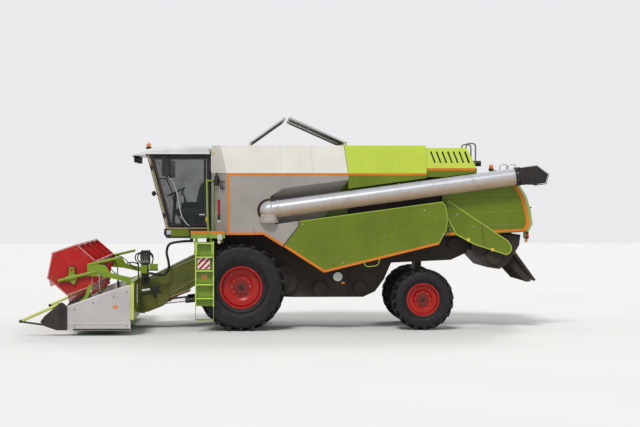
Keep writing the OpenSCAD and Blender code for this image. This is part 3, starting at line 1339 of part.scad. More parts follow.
// Reel cylinders: barrels on the header, rods up to the arms
ram_v = ram_eye - reel_base;
ram_len = norm(ram_v);
ram_tilt = atan2(ram_v[0], ram_v[1]);
ram_barrel_l = 560;
ram_d = 52;
ram_rod_d = 28;
ram_eye_t = 40;
module ram_frame() translate([reel_base[0], ram_y, reel_base[1]]) rotate([0, ram_tilt, 0]) children();
module reel_barrels() paint("#202020") both() ram_frame() difference() {
    union() {
        translate([0, 0, 30]) cylinder(d = ram_d, h = ram_barrel_l - 30);
        translate([0, ram_eye_t / 2, 0]) rotate([90, 0, 0]) cylinder(d = 64, h = ram_eye_t);
    }
    translate([0, 60, 0]) rotate([90, 0, 0]) cylinder(d = ram_pin_d + fit, h = 120);
    translate([0, 0, 60]) cylinder(d = ram_rod_d + fit, h = ram_barrel_l);
}
rod_start = 290;
module reel_rods() paint("#c8c8ca") both() ram_frame() {
    translate([0, 0, rod_start]) cylinder(d = ram_rod_d, h = ram_len - rod_start - 20);
    translate([0, ram_eye_t / 2, ram_len]) rotate([90, 0, 0]) cylinder(d = 56, h = ram_eye_t);
}

chassis();
axles();
knuckle(-1);  // knuckle_left
knuckle(1);  // knuckle_right
tie_rod();
front_tyre(-1);  // front_tyre_left
front_tyre(1);  // front_tyre_right
front_rim(-1);  // front_rim_left
front_rim(1);  // front_rim_right
rear_tyre(-1);  // rear_tyre_left
rear_tyre(1);  // rear_tyre_right
rear_rim(-1);  // rear_rim_left
rear_rim(1);  // rear_rim_right
platform();
cab_shell();
cab_roof();
cab_glass();
seat();
steering_column();
cab_door();
door_glass();
ladder();
grain_tank();
front_cover();
rear_cover();
engine();
engine_hood();
engine_cover();
exhaust();
straw_hood();
chopper();
side_panel(-1);  // side_panel_left
side_panel(1);  // side_panel_right
unloading_auger();
auger_spout();
lamps();
mirror_left();
mirror_right();
hitch();
feeder_house();
header_frame();
header_ends();
crop_dividers();
cutter_bar();
table_auger();
hose_coupler();
reel_arms();
reel_slides();
reel();
lift_barrels();
lift_rods();
reel_barrels();
reel_rods();
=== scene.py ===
"""Looks of the combine harvester: camera, light, materials and the trim that rides on the CAD frame."""

import math

import bmesh
import bpy
from mathutils import Matrix, Vector


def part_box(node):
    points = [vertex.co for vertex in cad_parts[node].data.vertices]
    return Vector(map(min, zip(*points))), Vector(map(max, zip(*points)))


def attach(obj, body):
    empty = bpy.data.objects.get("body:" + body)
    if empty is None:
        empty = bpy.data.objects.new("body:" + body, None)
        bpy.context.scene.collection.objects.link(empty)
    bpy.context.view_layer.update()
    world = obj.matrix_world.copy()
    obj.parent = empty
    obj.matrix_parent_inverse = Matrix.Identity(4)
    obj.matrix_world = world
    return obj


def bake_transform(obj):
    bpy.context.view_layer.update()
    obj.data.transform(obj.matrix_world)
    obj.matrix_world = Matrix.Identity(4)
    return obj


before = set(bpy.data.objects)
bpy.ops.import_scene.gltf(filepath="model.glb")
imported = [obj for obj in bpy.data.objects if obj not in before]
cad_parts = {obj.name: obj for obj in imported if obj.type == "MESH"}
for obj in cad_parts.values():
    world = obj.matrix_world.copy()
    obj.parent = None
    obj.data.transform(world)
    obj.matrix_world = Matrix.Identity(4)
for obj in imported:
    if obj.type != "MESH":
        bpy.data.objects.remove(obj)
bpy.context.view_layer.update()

LEFT, RIGHT = -1, 1
SIDES = ((LEFT, "left"), (RIGHT, "right"))
UP = (0, 0, 1)


# Places in the scene are written from the front axle, as in the part's source
def centre(node):
    low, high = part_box(node)
    return (low + high) / 2


FRONT_AXLE = centre("front_rim_left").x
REAR_AXLE = centre("rear_rim_left").x - FRONT_AXLE


def at(x, y, z):
    return Vector((FRONT_AXLE + x, y, z))


def add(name, data):
    made = bpy.data.objects.new(name, data)
    bpy.context.scene.collection.objects.link(made)
    return made


# Camera: at the photo's distance, height and angle
CAMERA_PLACE = at(0.04, -38.05, 2.8)
CAMERA_YAW, CAMERA_PITCH = math.radians(2.56), math.radians(-0.48)
LENS_MM, SENSOR_MM = 96.9, 36.0


def make_camera():
    data = bpy.data.cameras.new("camera")
    data.lens, data.sensor_width = LENS_MM, SENSOR_MM
    data.clip_end = 400
    camera = add("camera", data)
    look = Vector((math.sin(CAMERA_YAW), math.cos(CAMERA_YAW), math.sin(CAMERA_PITCH)))
    camera.location = CAMERA_PLACE
    camera.rotation_euler = look.to_track_quat("-Z", "Y").to_euler()
    bpy.context.scene.camera = camera


make_camera()


# Colours, written as they look on screen
def tone(red, green, blue):
    def linear(v):
        v /= 255
        return v / 12.92 if v < 0.04045 else ((v + 0.055) / 1.055) ** 2.4

    return (linear(red), linear(green), linear(blue), 1.0)


def shade(colour, amount):
    return tuple(v * amount for v in colour[:3]) + (1.0,)


LEAF = tone(92, 112, 10)
# SUNLIT_GREEN is LEAF's paint made lighter: painted light on the sunlit lean panels.
SUNLIT_GREEN = tone(172, 190, 48)
DUST = tone(150, 124, 88)
MUD = tone(92, 74, 54)
RUST = tone(110, 62, 34)
TUBE_LIGHT = tone(176, 178, 184)
# The warm colour is a painted reflection of the ground on the tube's underside.
TUBE_GROUND_REFLECTION = tone(168, 138, 104)


# Node helpers for the world and the procedural materials
class Tree:
    def __init__(self, owner):
        owner.use_nodes = True
        self.tree = owner.node_tree

    def node(self, kind, sockets=None, **settings):
        """A node with its settings, and its input sockets fed by their names or numbers."""
        made = self.tree.nodes.new(kind)
        for key, value in settings.items():
            setattr(made, key, value)
        for key, value in (sockets or {}).items():
            self.feed(made.inputs[key], value)
        return made

    def feed(self, socket, value):
        """Gives a socket its number or colour, or joins it to another node's output."""
        if isinstance(value, (int, float, tuple)):
            socket.default_value = value
        else:
            self.tree.links.new(value, socket)

    def math(self, operation, *values, clamp=True):
        sockets = dict(enumerate(values))
        return self.node("ShaderNodeMath", sockets, operation=operation, use_clamp=clamp).outputs["Value"]


# The mix node's sockets for colours go by number
MIX_FACTOR, MIX_A, MIX_B, MIX_RESULT = 0, 6, 7, 2


class Graph(Tree):
    def __init__(self, name):
        self.name, self.material = name, bpy.data.materials.new(name)
        super().__init__(self.material)
        self.shader = self.tree.nodes["Principled BSDF"]
        self.place = self.node("ShaderNodeTexCoord").outputs["Object"]

    def noise(self, scale, detail, stretch=(1, 1, 1)):
        place = self.node("ShaderNodeMapping", {"Scale": stretch, "Vector": self.place}).outputs["Vector"]
        sockets = {"Scale": scale, "Detail": detail, "Vector": place}
        return self.node("ShaderNodeTexNoise", sockets).outputs["Fac"]

    def axis(self, name, vector=None):
        return self.node("ShaderNodeSeparateXYZ", {"Vector": vector or self.place}).outputs[name]

    def span(self, value, low, high, to_low=0.0, to_high=1.0):
        sockets = {"Value": value, "From Min": low, "From Max": high, "To Min": to_low, "To Max": to_high}
        return self.node("ShaderNodeMapRange", sockets, clamp=True).outputs["Result"]

    def spots(self, scale, detail, low, high, amount=1.0, stretch=(1, 1, 1)):
        """Noise that is nought up to low and amount from high on."""
        return self.span(self.noise(scale, detail, stretch), low, high, 0.0, amount)

    def mix(self, factor, first, second):
        sockets = {MIX_FACTOR: factor, MIX_A: first, MIX_B: second}
        return self.node("ShaderNodeMix", sockets, data_type="RGBA").outputs[MIX_RESULT]

    def bump(self, height, strength, distance):
        sockets = {"Strength": strength, "Distance": distance, "Height": height}
        self.set(Normal=self.node("ShaderNodeBump", sockets).outputs["Normal"])

    def set(self, **values):
        for key, value in values.items():
            self.feed(self.shader.inputs[key.replace("_", " ")], value)


# Paint: slightly uneven colour, dust that thickens towards the ground, and fine speckles.
# dust and floor_dust are the shares of dust everywhere and at the ground, upper is a second colour above the
# height split_z: a lighter copy of the paint, painted light on sunlit lean faces.
FLOOR_DUST_Z = (0.2, 2.6)
SPLIT_HALF = 0.004


def paint(name, colour, dust, floor_dust, rough=0.36, upper=None, split_z=0, dust_colour=DUST):
    graph = Graph(name)
    base = graph.mix(graph.spots(1.7, 3, 0.35, 0.65), shade(colour, 0.9), shade(colour, 1.08))
    if upper:
        # The lighter copy above split_z is painted light: the sun on the lean panels over shaded upright
        # ones.
        lit_copy = graph.mix(graph.spots(1.3, 3, 0.35, 0.65), shade(upper, 0.94), shade(upper, 1.04))
        step = graph.span(graph.axis("Z"), split_z - SPLIT_HALF, split_z + SPLIT_HALF)
        base = graph.mix(step, base, lit_copy)
    low = graph.span(graph.axis("Z"), *FLOOR_DUST_Z, floor_dust, 0.0)
    patches = graph.spots(5.5, 6, 0.5, 0.78, dust)
    streaks = graph.spots(9, 5, 0.52, 0.8, dust, (1, 1, 0.12))
    speckle = graph.spots(160, 2, 0.62, 0.75, dust * 0.6)
    dirt = graph.math("ADD", graph.math("MAXIMUM", patches, streaks), speckle)
    dirt = graph.math("ADD", dirt, graph.math("MULTIPLY", low, graph.spots(3, 6, 0.3, 0.7)))
    graph.set(Base_Color=graph.mix(dirt, base, dust_colour), Roughness=graph.span(dirt, 0, 1, rough, 0.85),
              Specular_IOR_Level=0.32)
    graph.bump(graph.noise(240, 3), 0.08, 0.002)
    return graph


def rubber(name, colour, dust=0.18):
    graph = Graph(name)
    worn = graph.mix(graph.spots(7, 6, 0.4, 0.7), colour, shade(colour, 1.6))
    dirt = graph.spots(11, 7, 0.5, 0.75, dust)
    graph.set(Base_Color=graph.mix(dirt, worn, MUD), Roughness=graph.span(dirt, 0, 1, 0.62, 0.95),
              Specular_IOR_Level=0.3)
    graph.bump(graph.noise(90, 5), 0.25, 0.004)
    return graph


def worn_steel(name, colour, rough=0.38, rust=0.35):
    graph = Graph(name)
    streaks = graph.spots(60, 4, 0.35, 0.65, stretch=(1, 0.05, 1))
    base = graph.mix(streaks, shade(colour, 0.75), shade(colour, 1.15))
    rusty = graph.spots(8, 7, 0.52, 0.72, rust)
    graph.set(Base_Color=graph.mix(rusty, base, RUST), Metallic=graph.span(rusty, 0, 1, 0.85, 0.1),
              Roughness=graph.span(rusty, 0, 1, rough, 0.9))
    graph.bump(graph.noise(120, 4, (1, 0.1, 1)), 0.12, 0.001)
    return graph


def glass(name, tint):
    graph = Graph(name)
    dusty = graph.spots(6, 6, 0.5, 0.8, 0.12)
    graph.set(Base_Color=graph.mix(dusty, tint, DUST), Roughness=graph.span(dusty, 0, 0.2, 0.04, 0.3),
              Alpha=graph.span(dusty, 0, 0.2, 0.36, 0.6))
    return graph


def lens(name, colour):
    graph = Graph(name)
    ribs = graph.noise(140, 1, (1, 1, 0.1))
    graph.set(Base_Color=graph.mix(graph.span(ribs, 0.3, 0.7), shade(colour, 0.8), colour), Roughness=0.15,
              Coat_Weight=0.6)
    graph.bump(ribs, 0.2, 0.002)
    return graph


def cloth(name, colour):
    graph = Graph(name)
    weave = graph.noise(420, 2)
    graph.set(Base_Color=graph.mix(weave, shade(colour, 0.7), shade(colour, 1.5)), Roughness=0.95)
    graph.bump(weave, 0.3, 0.001)
    return graph


# The auger's tube: grey above, with a painted reflection of the warm ground on the faces that look down
def tube_paint(name):
    graph = Graph(name)
    facing = graph.node("ShaderNodeNewGeometry").outputs["Normal"]
    # Painted reflection: the warm ground's colour on the downward faces.
    under = graph.span(graph.axis("Z", facing), -0.45, 0.3, 0.85, 0.0)
    base = graph.mix(graph.spots(2.2, 3, 0.4, 0.7), TUBE_LIGHT, shade(TUBE_LIGHT, 0.9))
    dirt = graph.spots(6, 6, 0.52, 0.8, 0.35)
    graph.set(Base_Color=graph.mix(dirt, graph.mix(under, base, TUBE_GROUND_REFLECTION), MUD), Roughness=0.32,
              Metallic=0.15)
    graph.bump(graph.noise(200, 3), 0.06, 0.002)
    return graph


# The seam on the tank's side, as places in X and Z from the front axle, and the height of the body's fold
SEAM_TOP, SEAM_FOLD, SEAM_LOW, SEAM_FOOT = (2.19, 3.945), (2.272, 3.35), (2.272, 3.2), (2.08, 2.90)
FOLD_Z = 3.35


# The tank: white lean panels, upright panels made greyer as painted shade, and green behind the slanting
# seam, the sunlit green as painted light above and LEAF at its foot
def tank_paint(name):
    # Grey below the fold is painted shade on the tank's one white paint.
    graph = paint(name, tone(150, 145, 139), 0.1, 0.05, 0.3, tone(206, 203, 196), FOLD_Z)
    x, z = graph.axis("X"), graph.axis("Z")

    def behind(upper, lower):
        """One behind the line through two places of the seam, nought ahead of it."""
        slope = (upper[0] - lower[0]) / (upper[1] - lower[1])
        line = graph.math("MULTIPLY_ADD", z, -slope, slope * lower[1] - lower[0] - FRONT_AXLE, clamp=False)
        return graph.span(graph.math("ADD", x, line, clamp=False), 0.0, 0.003)

    before = graph.shader.inputs["Base Color"].links[0].from_socket
    # Behind the seam: the sunlit green as painted light, and LEAF green at the foot.
    painted = graph.mix(behind(SEAM_TOP, SEAM_FOLD), before, SUNLIT_GREEN)
    below = graph.span(z, SEAM_LOW[1], SEAM_LOW[1] + 0.002, 1.0, 0.0)
    foot = graph.math("MULTIPLY", behind(SEAM_LOW, SEAM_FOOT), below)
    graph.set(Base_Color=graph.mix(foot, painted, LEAF))
    return graph


M = {graph.name: graph.material for graph in (
    paint("leaf", LEAF, 0.1, 0.14),
    # Lighter green for painted highlights on edges and sunlit faces of the green panels.
    paint("leaf_edge", tone(150, 168, 62), 0.1, 0.1),
    paint("feeder_green", tone(74, 84, 16), 0.18, 0.2),
    paint("arm_green", tone(112, 140, 18), 0.15, 0.15),
    # hood and cover: lighter green above split_z, painted light on their sunlit lean tops.
    paint("hood", LEAF, 0.1, 0.0, upper=SUNLIT_GREEN, split_z=FOLD_Z),
    paint("cover", LEAF, 0.1, 0.0, upper=SUNLIT_GREEN, split_z=3.46),
    paint("ladder_green", tone(118, 148, 44), 0.15, 0.1),
    paint("ladder_edge", tone(176, 206, 84), 0.1, 0.0),
    paint("post_green", tone(190, 198, 96), 0.15, 0.1),
    paint("orange", tone(204, 112, 20), 0.08, 0.1, 0.4),
    tank_paint("tank"),
    paint("facet", tone(178, 175, 170), 0.1, 0.0, 0.3),
    paint("roof", tone(204, 204, 202), 0.1, 0.0, 0.3),
    paint("white", tone(222, 222, 218), 0.1, 0.0, 0.3),
    paint("lid", tone(186, 184, 178), 0.12, 0.0),
    paint("black", tone(26, 26, 28), 0.1, 0.06, 0.45),
    paint("frame", tone(38, 32, 29), 0.28, 0.25, 0.6, dust_colour=MUD),
    paint("grey_panel", tone(184, 180, 181), 0.1, 0.16),
    paint("beige", tone(168, 150, 112), 0.15, 0.0, 0.5),
    paint("red", tone(164, 8, 8), 0.08, 0.06, 0.3),
    paint("dark_red", tone(110, 12, 22), 0.15, 0.1, 0.4),
    # Pale pink for painted highlights on the red reel's edges.
    paint("pale_pink", tone(196, 150, 150), 0.15, 0.0),
    worn_steel("steel", tone(120, 117, 112)),
    worn_steel("bright_steel", tone(196, 196, 194), rust=0.1),
    worn_steel("rod", tone(150, 150, 154), rough=0.28, rust=0.0),
    tube_paint("tube"),
    paint("spout", tone(33, 29, 32), 0.08, 0.0, 0.7),
    paint("bright_edge", tone(214, 212, 204), 0.1, 0.0),
    rubber("tyre", tone(21, 21, 24)),
    rubber("hose", tone(24, 24, 26), dust=0.15),
    glass("glass", tone(22, 40, 38)),
    lens("amber", tone(226, 122, 22)),
    lens("lamp_red", tone(170, 22, 16)),
    lens("clear_lens", tone(214, 206, 196)),
    worn_steel("mirror", tone(200, 206, 210), rough=0.05, rust=0.0),
    cloth("seat_cloth", tone(58, 60, 66)),
    paint("yellow", tone(214, 178, 54), 0.1, 0.0),
    paint("rust", tone(112, 66, 34), 0.3, 0.0, 0.8),
)}

# The CAD nodes that each material is put on
NODES = {
    "frame": "chassis axles knuckle_left knuckle_right chopper",
    "black": "tie_rod cab_shell steering_column cab_door engine exhaust mirror_left mirror_right hitch "
             "crop_dividers hose_coupler lift_barrels reel_barrels",
    "leaf": "straw_hood side_panel_left side_panel_right",
    "hood": "engine_hood", "cover": "engine_cover", "tank": "grain_tank", "lid": "front_cover rear_cover",
    "ladder_green": "platform ladder", "roof": "cab_roof", "glass": "cab_glass door_glass",
    "seat_cloth": "seat", "tube": "unloading_auger", "spout": "auger_spout", "amber": "lamps",
    "feeder_green": "feeder_house", "arm_green": "header_frame reel_arms reel_slides",
    "grey_panel": "header_ends", "steel": "cutter_bar table_auger", "rod": "lift_rods reel_rods",
    "red": "reel front_rim_left front_rim_right rear_rim_left rear_rim_right",
    "tyre": "front_tyre_left front_tyre_right rear_tyre_left rear_tyre_right",
}
for key, nodes in NODES.items():
    for node in nodes.split():
        for material_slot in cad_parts[node].material_slots:
            material_slot.link = "OBJECT"
            material_slot.material = M[key]


# Pieces. One that blends between two bodies rides on none.
def link(name, mesh, body):
    made = add(name, mesh)
    if body:
        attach(made, body)
    return made


def piece(name, vertices, faces, key, body, smooth_deg=None):
    mesh = bpy.data.meshes.new(name)
    mesh.from_pydata([tuple(v) for v in vertices], [], faces)
    mesh.validate()
    mesh.materials.append(M[key])
    if smooth_deg:
        mesh.shade_smooth()
        mesh.set_sharp_from_angle(angle=math.radians(smooth_deg))
    return link(name, mesh, body)


def from_bmesh(name, made, key, body, smooth=False):
    bmesh.ops.recalc_face_normals(made, faces=made.faces)
    mesh = bpy.data.meshes.new(name)
    made.to_mesh(mesh)
    made.free()
    if smooth:
        mesh.shade_smooth()
    mesh.materials.append(M[key])
    return link(name, mesh, body)


# A closed form between two rings of points
def between(name, ring_a, ring_b, key, body="machine"):
    count = len(ring_a)
    made = bmesh.new()
    vertices = [made.verts.new(v) for v in [*ring_a, *ring_b]]
    made.faces.new(vertices[:count])
    made.faces.new(vertices[count:])
    for i in range(count):
        j = (i + 1) % count
        made.faces.new((vertices[i], vertices[j], vertices[count + j], vertices[count + i]))
    return from_bmesh(name, made, key, body)


# A flat outline (points in X and Z from the front axle) between the planes y0 and y1
def plate(name, outline, y0, y1, key, body="machine"):
    return between(name, *([at(x, y, z) for x, z in outline] for y in (y0, y1)), key, body)


def box(name, low, high, key, body="machine"):
    outline = [(low[0], low[2]), (high[0], low[2]), (high[0], high[2]), (low[0], high[2])]
    return plate(name, outline, low[1], high[1], key, body)


# A box of the given size about a centre, turned so that its own axes follow three directions
def turned_box(name, place, directions, size, key, body="machine"):
    along, across, up = (Vector(d).normalized() * s / 2 for d, s in zip(directions, size))
    rings = [[place + along * a + across * b + up * c for a, b in ((-1, -1), (1, -1), (1, 1), (-1, 1))]
             for c in (-1, 1)]
    return between(name, *rings, key, body)


# An outline in Y and Z, extruded along X
def section_piece(name, outline, x0, x1, key):
    return between(name, *([at(x, y, z) for y, z in outline] for x in (x0, x1)), key)


def offset_line(line, width):
    out = []
    for i, (x, z) in enumerate(line):
        before = line[max(i - 1, 0)]
        after = line[min(i + 1, len(line) - 1)]
        tangents = []
        for a, b in ((before, (x, z)), ((x, z), after)):
            length = math.dist(a, b)
            if length > 1e-9:
                tangents.append(((b[0] - a[0]) / length, (b[1] - a[1]) / length))
        nx = sum(-tz for tx, tz in tangents) / len(tangents)
        nz = sum(tx for tx, tz in tangents) / len(tangents)
        scale = width / max(nx * nx + nz * nz, 0.2)
        out.append((x + nx * scale, z + nz * scale))
    return out


# A band of even width along a line in X and Z, on the given side of the line, proud of the plane y
PROUD = 0.003
SUNK = 0.002


def band(name, line, width, y, side, key, body="machine", proud=PROUD):
    outline = line + offset_line(line, width)[::-1]
    return plate(name, outline, side * (y - SUNK), side * (y + proud), key, body)


def round_faces(rings, sides, closed=True):
    """The faces between rings of as many points, and over the first and the last ring."""
    faces = []
    for i in range(rings - 1):
        for k in range(sides):
            a, b = i * sides + k, i * sides + (k + 1) % sides
            faces.append((a, b, b + sides, a + sides))
    if closed:
        faces += [tuple(range(sides))[::-1], tuple(range((rings - 1) * sides, rings * sides))]
    return faces


def tube(name, points, radius, key, body="machine", sides=8, place=at):
    """A round tube along points, with rings that turn with the path."""
    path = [place(*p) for p in points]
    vertices = []
    normal = None
    for i, p in enumerate(path):
        ahead = path[min(i + 1, len(path) - 1)] - path[max(i - 1, 0)]
        ahead.normalize()
        if normal is None:
            normal = ahead.orthogonal().normalized()
        normal = (normal - ahead * normal.dot(ahead)).normalized()
        across = ahead.cross(normal)
        for k in range(sides):
            turn = 2 * math.pi * k / sides
            vertices.append(p + (normal * math.cos(turn) + across * math.sin(turn)) * radius)
    return piece(name, vertices, round_faces(len(path), sides), key, body, 50)


def placed(*place):
    """For a tube whose points are already places in the scene."""
    return Vector(place)


def curve(points, steps=4):
    """A smooth line through the points (Catmull-Rom)."""
    ends = [points[0], *points, points[-1]]
    out = []
    for i in range(1, len(ends) - 2):
        p0, p1, p2, p3 = (Vector(ends[j]) for j in range(i - 1, i + 3))
        for k in range(steps):
            t = k / steps
            out.append(0.5 * (2 * p1 + (p2 - p0) * t + (2 * p0 - 5 * p1 + 4 * p2 - p3) * t * t
                              + (3 * p1 - p0 - 3 * p2 + p3) * t ** 3))
    return [tuple(p) for p in out] + [tuple(points[-1])]


def arc(x, z, radius, degrees):
    """Points in X and Z on a circle about (x, z)."""
    return [(x + radius * math.cos(a), z + radius * math.sin(a)) for a in map(math.radians, degrees)]


def lathe(name, profile, place, direction, key, body="machine", sides=20, ring=False):
    """Turns (radius, height) points round direction. A ring has no end faces, and closes on its first."""
    profile = profile + profile[:1] if ring else profile
    turn = Vector(UP).rotation_difference(Vector(direction)).to_matrix()
    vertices = []
    for r, h in profile:
        for k in range(sides):
            a = 2 * math.pi * k / sides
            vertices.append(place + turn @ Vector((r * math.cos(a), r * math.sin(a), h)))
    return piece(name, vertices, round_faces(len(profile), sides, not ring), key, body, 35)


def disc(name, x, y, z, radius, depth, side, key, body="machine"):
    """A round plate that faces sideways, with a bevelled edge."""
    profile = [(radius, 0), (radius, depth * 0.6), (radius * 0.94, depth)]
    return lathe(name, profile, at(x, side * y, z), (0, side, 0), key, body, 28)


def crease(name, line, width, height, y, side, key, body="machine"):
    """A raised crease in sheet metal, a low roof along a line on the plane y."""
    foot_y = side * (y - 0.001)
    left, right = offset_line(line, width / 2), offset_line(line, -width / 2)
    vertices, faces = [], []
    for (ax, az), (bx, bz), (cx, cz) in zip(left, line, right):
        vertices += [at(ax, foot_y, az), at(bx, side * (y + height), bz), at(cx, foot_y, cz)]
    for a in range(0, 3 * len(line) - 3, 3):
        b = a + 3
        faces += [(a, a + 1, b + 1, b), (a + 1, a + 2, b + 2, b + 1), (a, b, b + 2, a + 2)]
    faces += [(0, 2, 1), (b, b + 1, b + 2)]
    return piece(name, vertices, faces if side < 0 else [f[::-1] for f in faces], key, body)


# World, suns and floor
def make_light():
    world = bpy.data.worlds.new("studio")
    bpy.context.scene.world = world
    sky = Tree(world)
    sky.tree.nodes.clear()
    rays = sky.node("ShaderNodeLightPath").outputs
    seen = sky.math("ADD", rays["Is Camera Ray"], rays["Is Glossy Ray"])
    seen = sky.math("ADD", seen, rays["Is Transmission Ray"])
    soft = sky.node("ShaderNodeBackground", {"Color": (1, 1, 1, 1), "Strength": 0.55})
    shown = sky.node("ShaderNodeBackground", {"Color": (0.86, 0.87, 0.88, 1), "Strength": 0.95})
    blend = sky.node("ShaderNodeMixShader", {0: seen, 1: soft.outputs[0], 2: shown.outputs[0]})
    sky.node("ShaderNodeOutputWorld", {"Surface": blend.outputs[0]})
    for name, toward, power, angle in (
            ("key", (-0.30, -0.95, 1.15), 2.1, 14), ("back", (0.4, 1.0, 0.9), 0.9, 20)):
        data = bpy.data.lights.new(name, "SUN")
        data.energy, data.angle = power, math.radians(angle)
        add(name, data).rotation_euler = Vector(toward).to_track_quat("Z", "Y").to_euler()


def make_floor():
    half = 70
    mesh = bpy.data.meshes.new("floor")
    mesh.from_pydata([(-half, -half, 0), (half, -half, 0), (half, half, 0), (-half, half, 0)], [],
                     [(0, 1, 2, 3)])
    graph = Graph("floor")
    graph.set(Base_Color=graph.mix(graph.noise(0.3, 3), tone(214, 214, 212), tone(222, 222, 220)),
              Roughness=0.9)
    mesh.materials.append(graph.material)
    floor = add("floor", mesh)


make_light()
make_floor()

bpy.context.scene.view_settings.view_transform = "Standard"

# Main planes of the machine, half widths in metres from its middle
SIDE_Y, CAB_Y, STRAW_Y, ROOF_Y, LEAN_Y = 1.5, 0.93, 1.28, 1.0, 1.31
COVER_Y, SKIN_TOP_Z = 1.45, 3.945
DRIVE_Y, FEEDER_Y, END_Y, REEL_Y = 1.304, 0.69, 2.68, 2.4
TUBE_SLOPE = math.radians(7.75)
ELBOW = (0.59, -1.47, 2.56)


def panel_top(x):
    """Height of the side panel's upper edge, along the unloading tube."""
    return ELBOW[2] + (x - ELBOW[0]) * math.tan(TUBE_SLOPE) - 0.313


def skin_y(z):
    """Half width of the upper body: upright to the fold, then leaning in."""
    return SIDE_Y if z <= FOLD_Z else SIDE_Y - (z - FOLD_Z) * (SIDE_Y - LEAN_Y) / (SKIN_TOP_Z - FOLD_Z)


def skin_band(name, line, width, side, key):
    """A thin band on the upper body's skin."""
    outline = line + offset_line(line, width)[::-1]
    rings = [[at(x, side * (skin_y(z) + out), z) for x, z in outline] for out in (-SUNK, PROUD)]
    return between(name, *rings, key)


# Stripes and seams of the upper body
STRIPES = (
    ("front", [(-0.298, 2.043), (-0.298, 3.35)], -0.05, SIDE_Y),
    ("fold", [(-0.248, 3.35), (3.948, 3.35)], -0.046, SIDE_Y),
    ("cover", [(3.956, 3.457), (4.99, 3.457)], -0.05, COVER_Y),
    ("foot", [(-0.248, 2.043), (0.276, 2.043)], 0.05, SIDE_Y),
    ("skirt", [(0.284, 2.047), (0.468, 2.047), (0.878, 1.793)], 0.05, SIDE_Y),
    ("fan", [(0.90, 1.792), (1.761, 1.238), (4.208, 1.832)], 0.05, SIDE_Y),
)
for side, hand in SIDES:
    for name, line, width, y in STRIPES:
        body = f"panel_{hand}" if name == "fan" else "machine"
        band(f"stripe_{name}_{hand}", line, width, y, side, "orange", body)
    skin_band(f"seam_lean_{hand}", [SEAM_TOP, SEAM_FOLD], 0.008, side, "black")
    if side == RIGHT:
        band("seam_tank_right", [SEAM_FOLD, SEAM_LOW, (1.805, 2.47)], 0.008, SIDE_Y, side, "black")
    for x in (0.86, 1.52):
        skin_band(f"seam_{hand}_{int(x * 100)}", [(x, 3.36), (x - 0.03, 3.93)], 0.006, side, "facet")
    band(f"fold_line_{hand}", [(-0.248, 3.29), (2.27, 3.29)], 0.006, SIDE_Y, side, "facet")
    # Straw hood: stripes, corners in the lighter green as painted light on the sunlit rear face, creases, the
    # drive's cover with a painted highlight round its edge, stickers and latch
    band(f"stripe_straw_{hand}", [(4.372, 2.022), (6.095, 2.118)], 0.05, STRAW_Y, side, "orange")
    rear = [(5.900, 3.108), (6.056, 2.86), (6.146, 2.56), (6.184, 2.26), (6.120, 2.13)]
    band(f"stripe_back_{hand}", rear, -0.065, STRAW_Y, side, "orange", proud=0.004)
    edge = [(5.907, 3.106), (6.062, 2.86), (6.152, 2.56), (6.192, 2.26), (6.112, 2.10)]
    # The turned rear corners are lighter green: painted light on the sunlit rear face.
    for i, ((xa, za), (xb, zb)) in enumerate(zip(edge, edge[1:])):
        corners = ((xa, za, 0, STRAW_Y), (xb, zb, 0, STRAW_Y), (xb, zb, 0.09, 1.11), (xa, za, 0.09, 1.11))
        rings = [[at(x + across + out * 0.88, side * (y + out * 0.47), z) for x, z, across, y in corners]
                 for out in (-0.004, 0.003)]
        between(f"tail_corner_{hand}_{i}", *rings, "leaf_edge")
    for i, z in enumerate((2.24, 2.52, 2.83)):
        crease(f"straw_crease_{hand}_{i}", [(4.33, z - 0.05), (5.99 - i * 0.05, z)], 0.05, 0.007, STRAW_Y,
               side, "leaf")
    drive = [(4.41, 2.762), (4.455, 2.762), (5.722, 1.912), *arc(5.66, 1.74, 0.145, range(40, -81, -20)),
             (4.995, 1.826), (4.605, 2.034), (4.398, 2.42)]
    # Lighter band round the drive's cover: painted highlight on its folded edge.
    band(f"drive_edge_{hand}", drive, -0.022, DRIVE_Y, side, "leaf_edge")
    band(f"drive_seam_{hand}", [(5.16, 2.26), (5.20, 1.80)], 0.008, DRIVE_Y, side, "black")
    for x, z in ((4.87, 1.93), (5.39, 1.72)):
        box(f"sticker_straw_{hand}_{int(x * 100)}", (x - 0.03, side * 1.305, z - 0.035),
            (x + 0.03, side * 1.308, z + 0.03), "yellow")
    box(f"straw_latch_{hand}", (4.44, side * 1.28, 2.11), (4.50, side * 1.312, 2.17), "black")
    box(f"straw_latch_key_{hand}", (4.455, side * 1.31, 2.13), (4.485, side * 1.316, 2.15), "bright_steel")

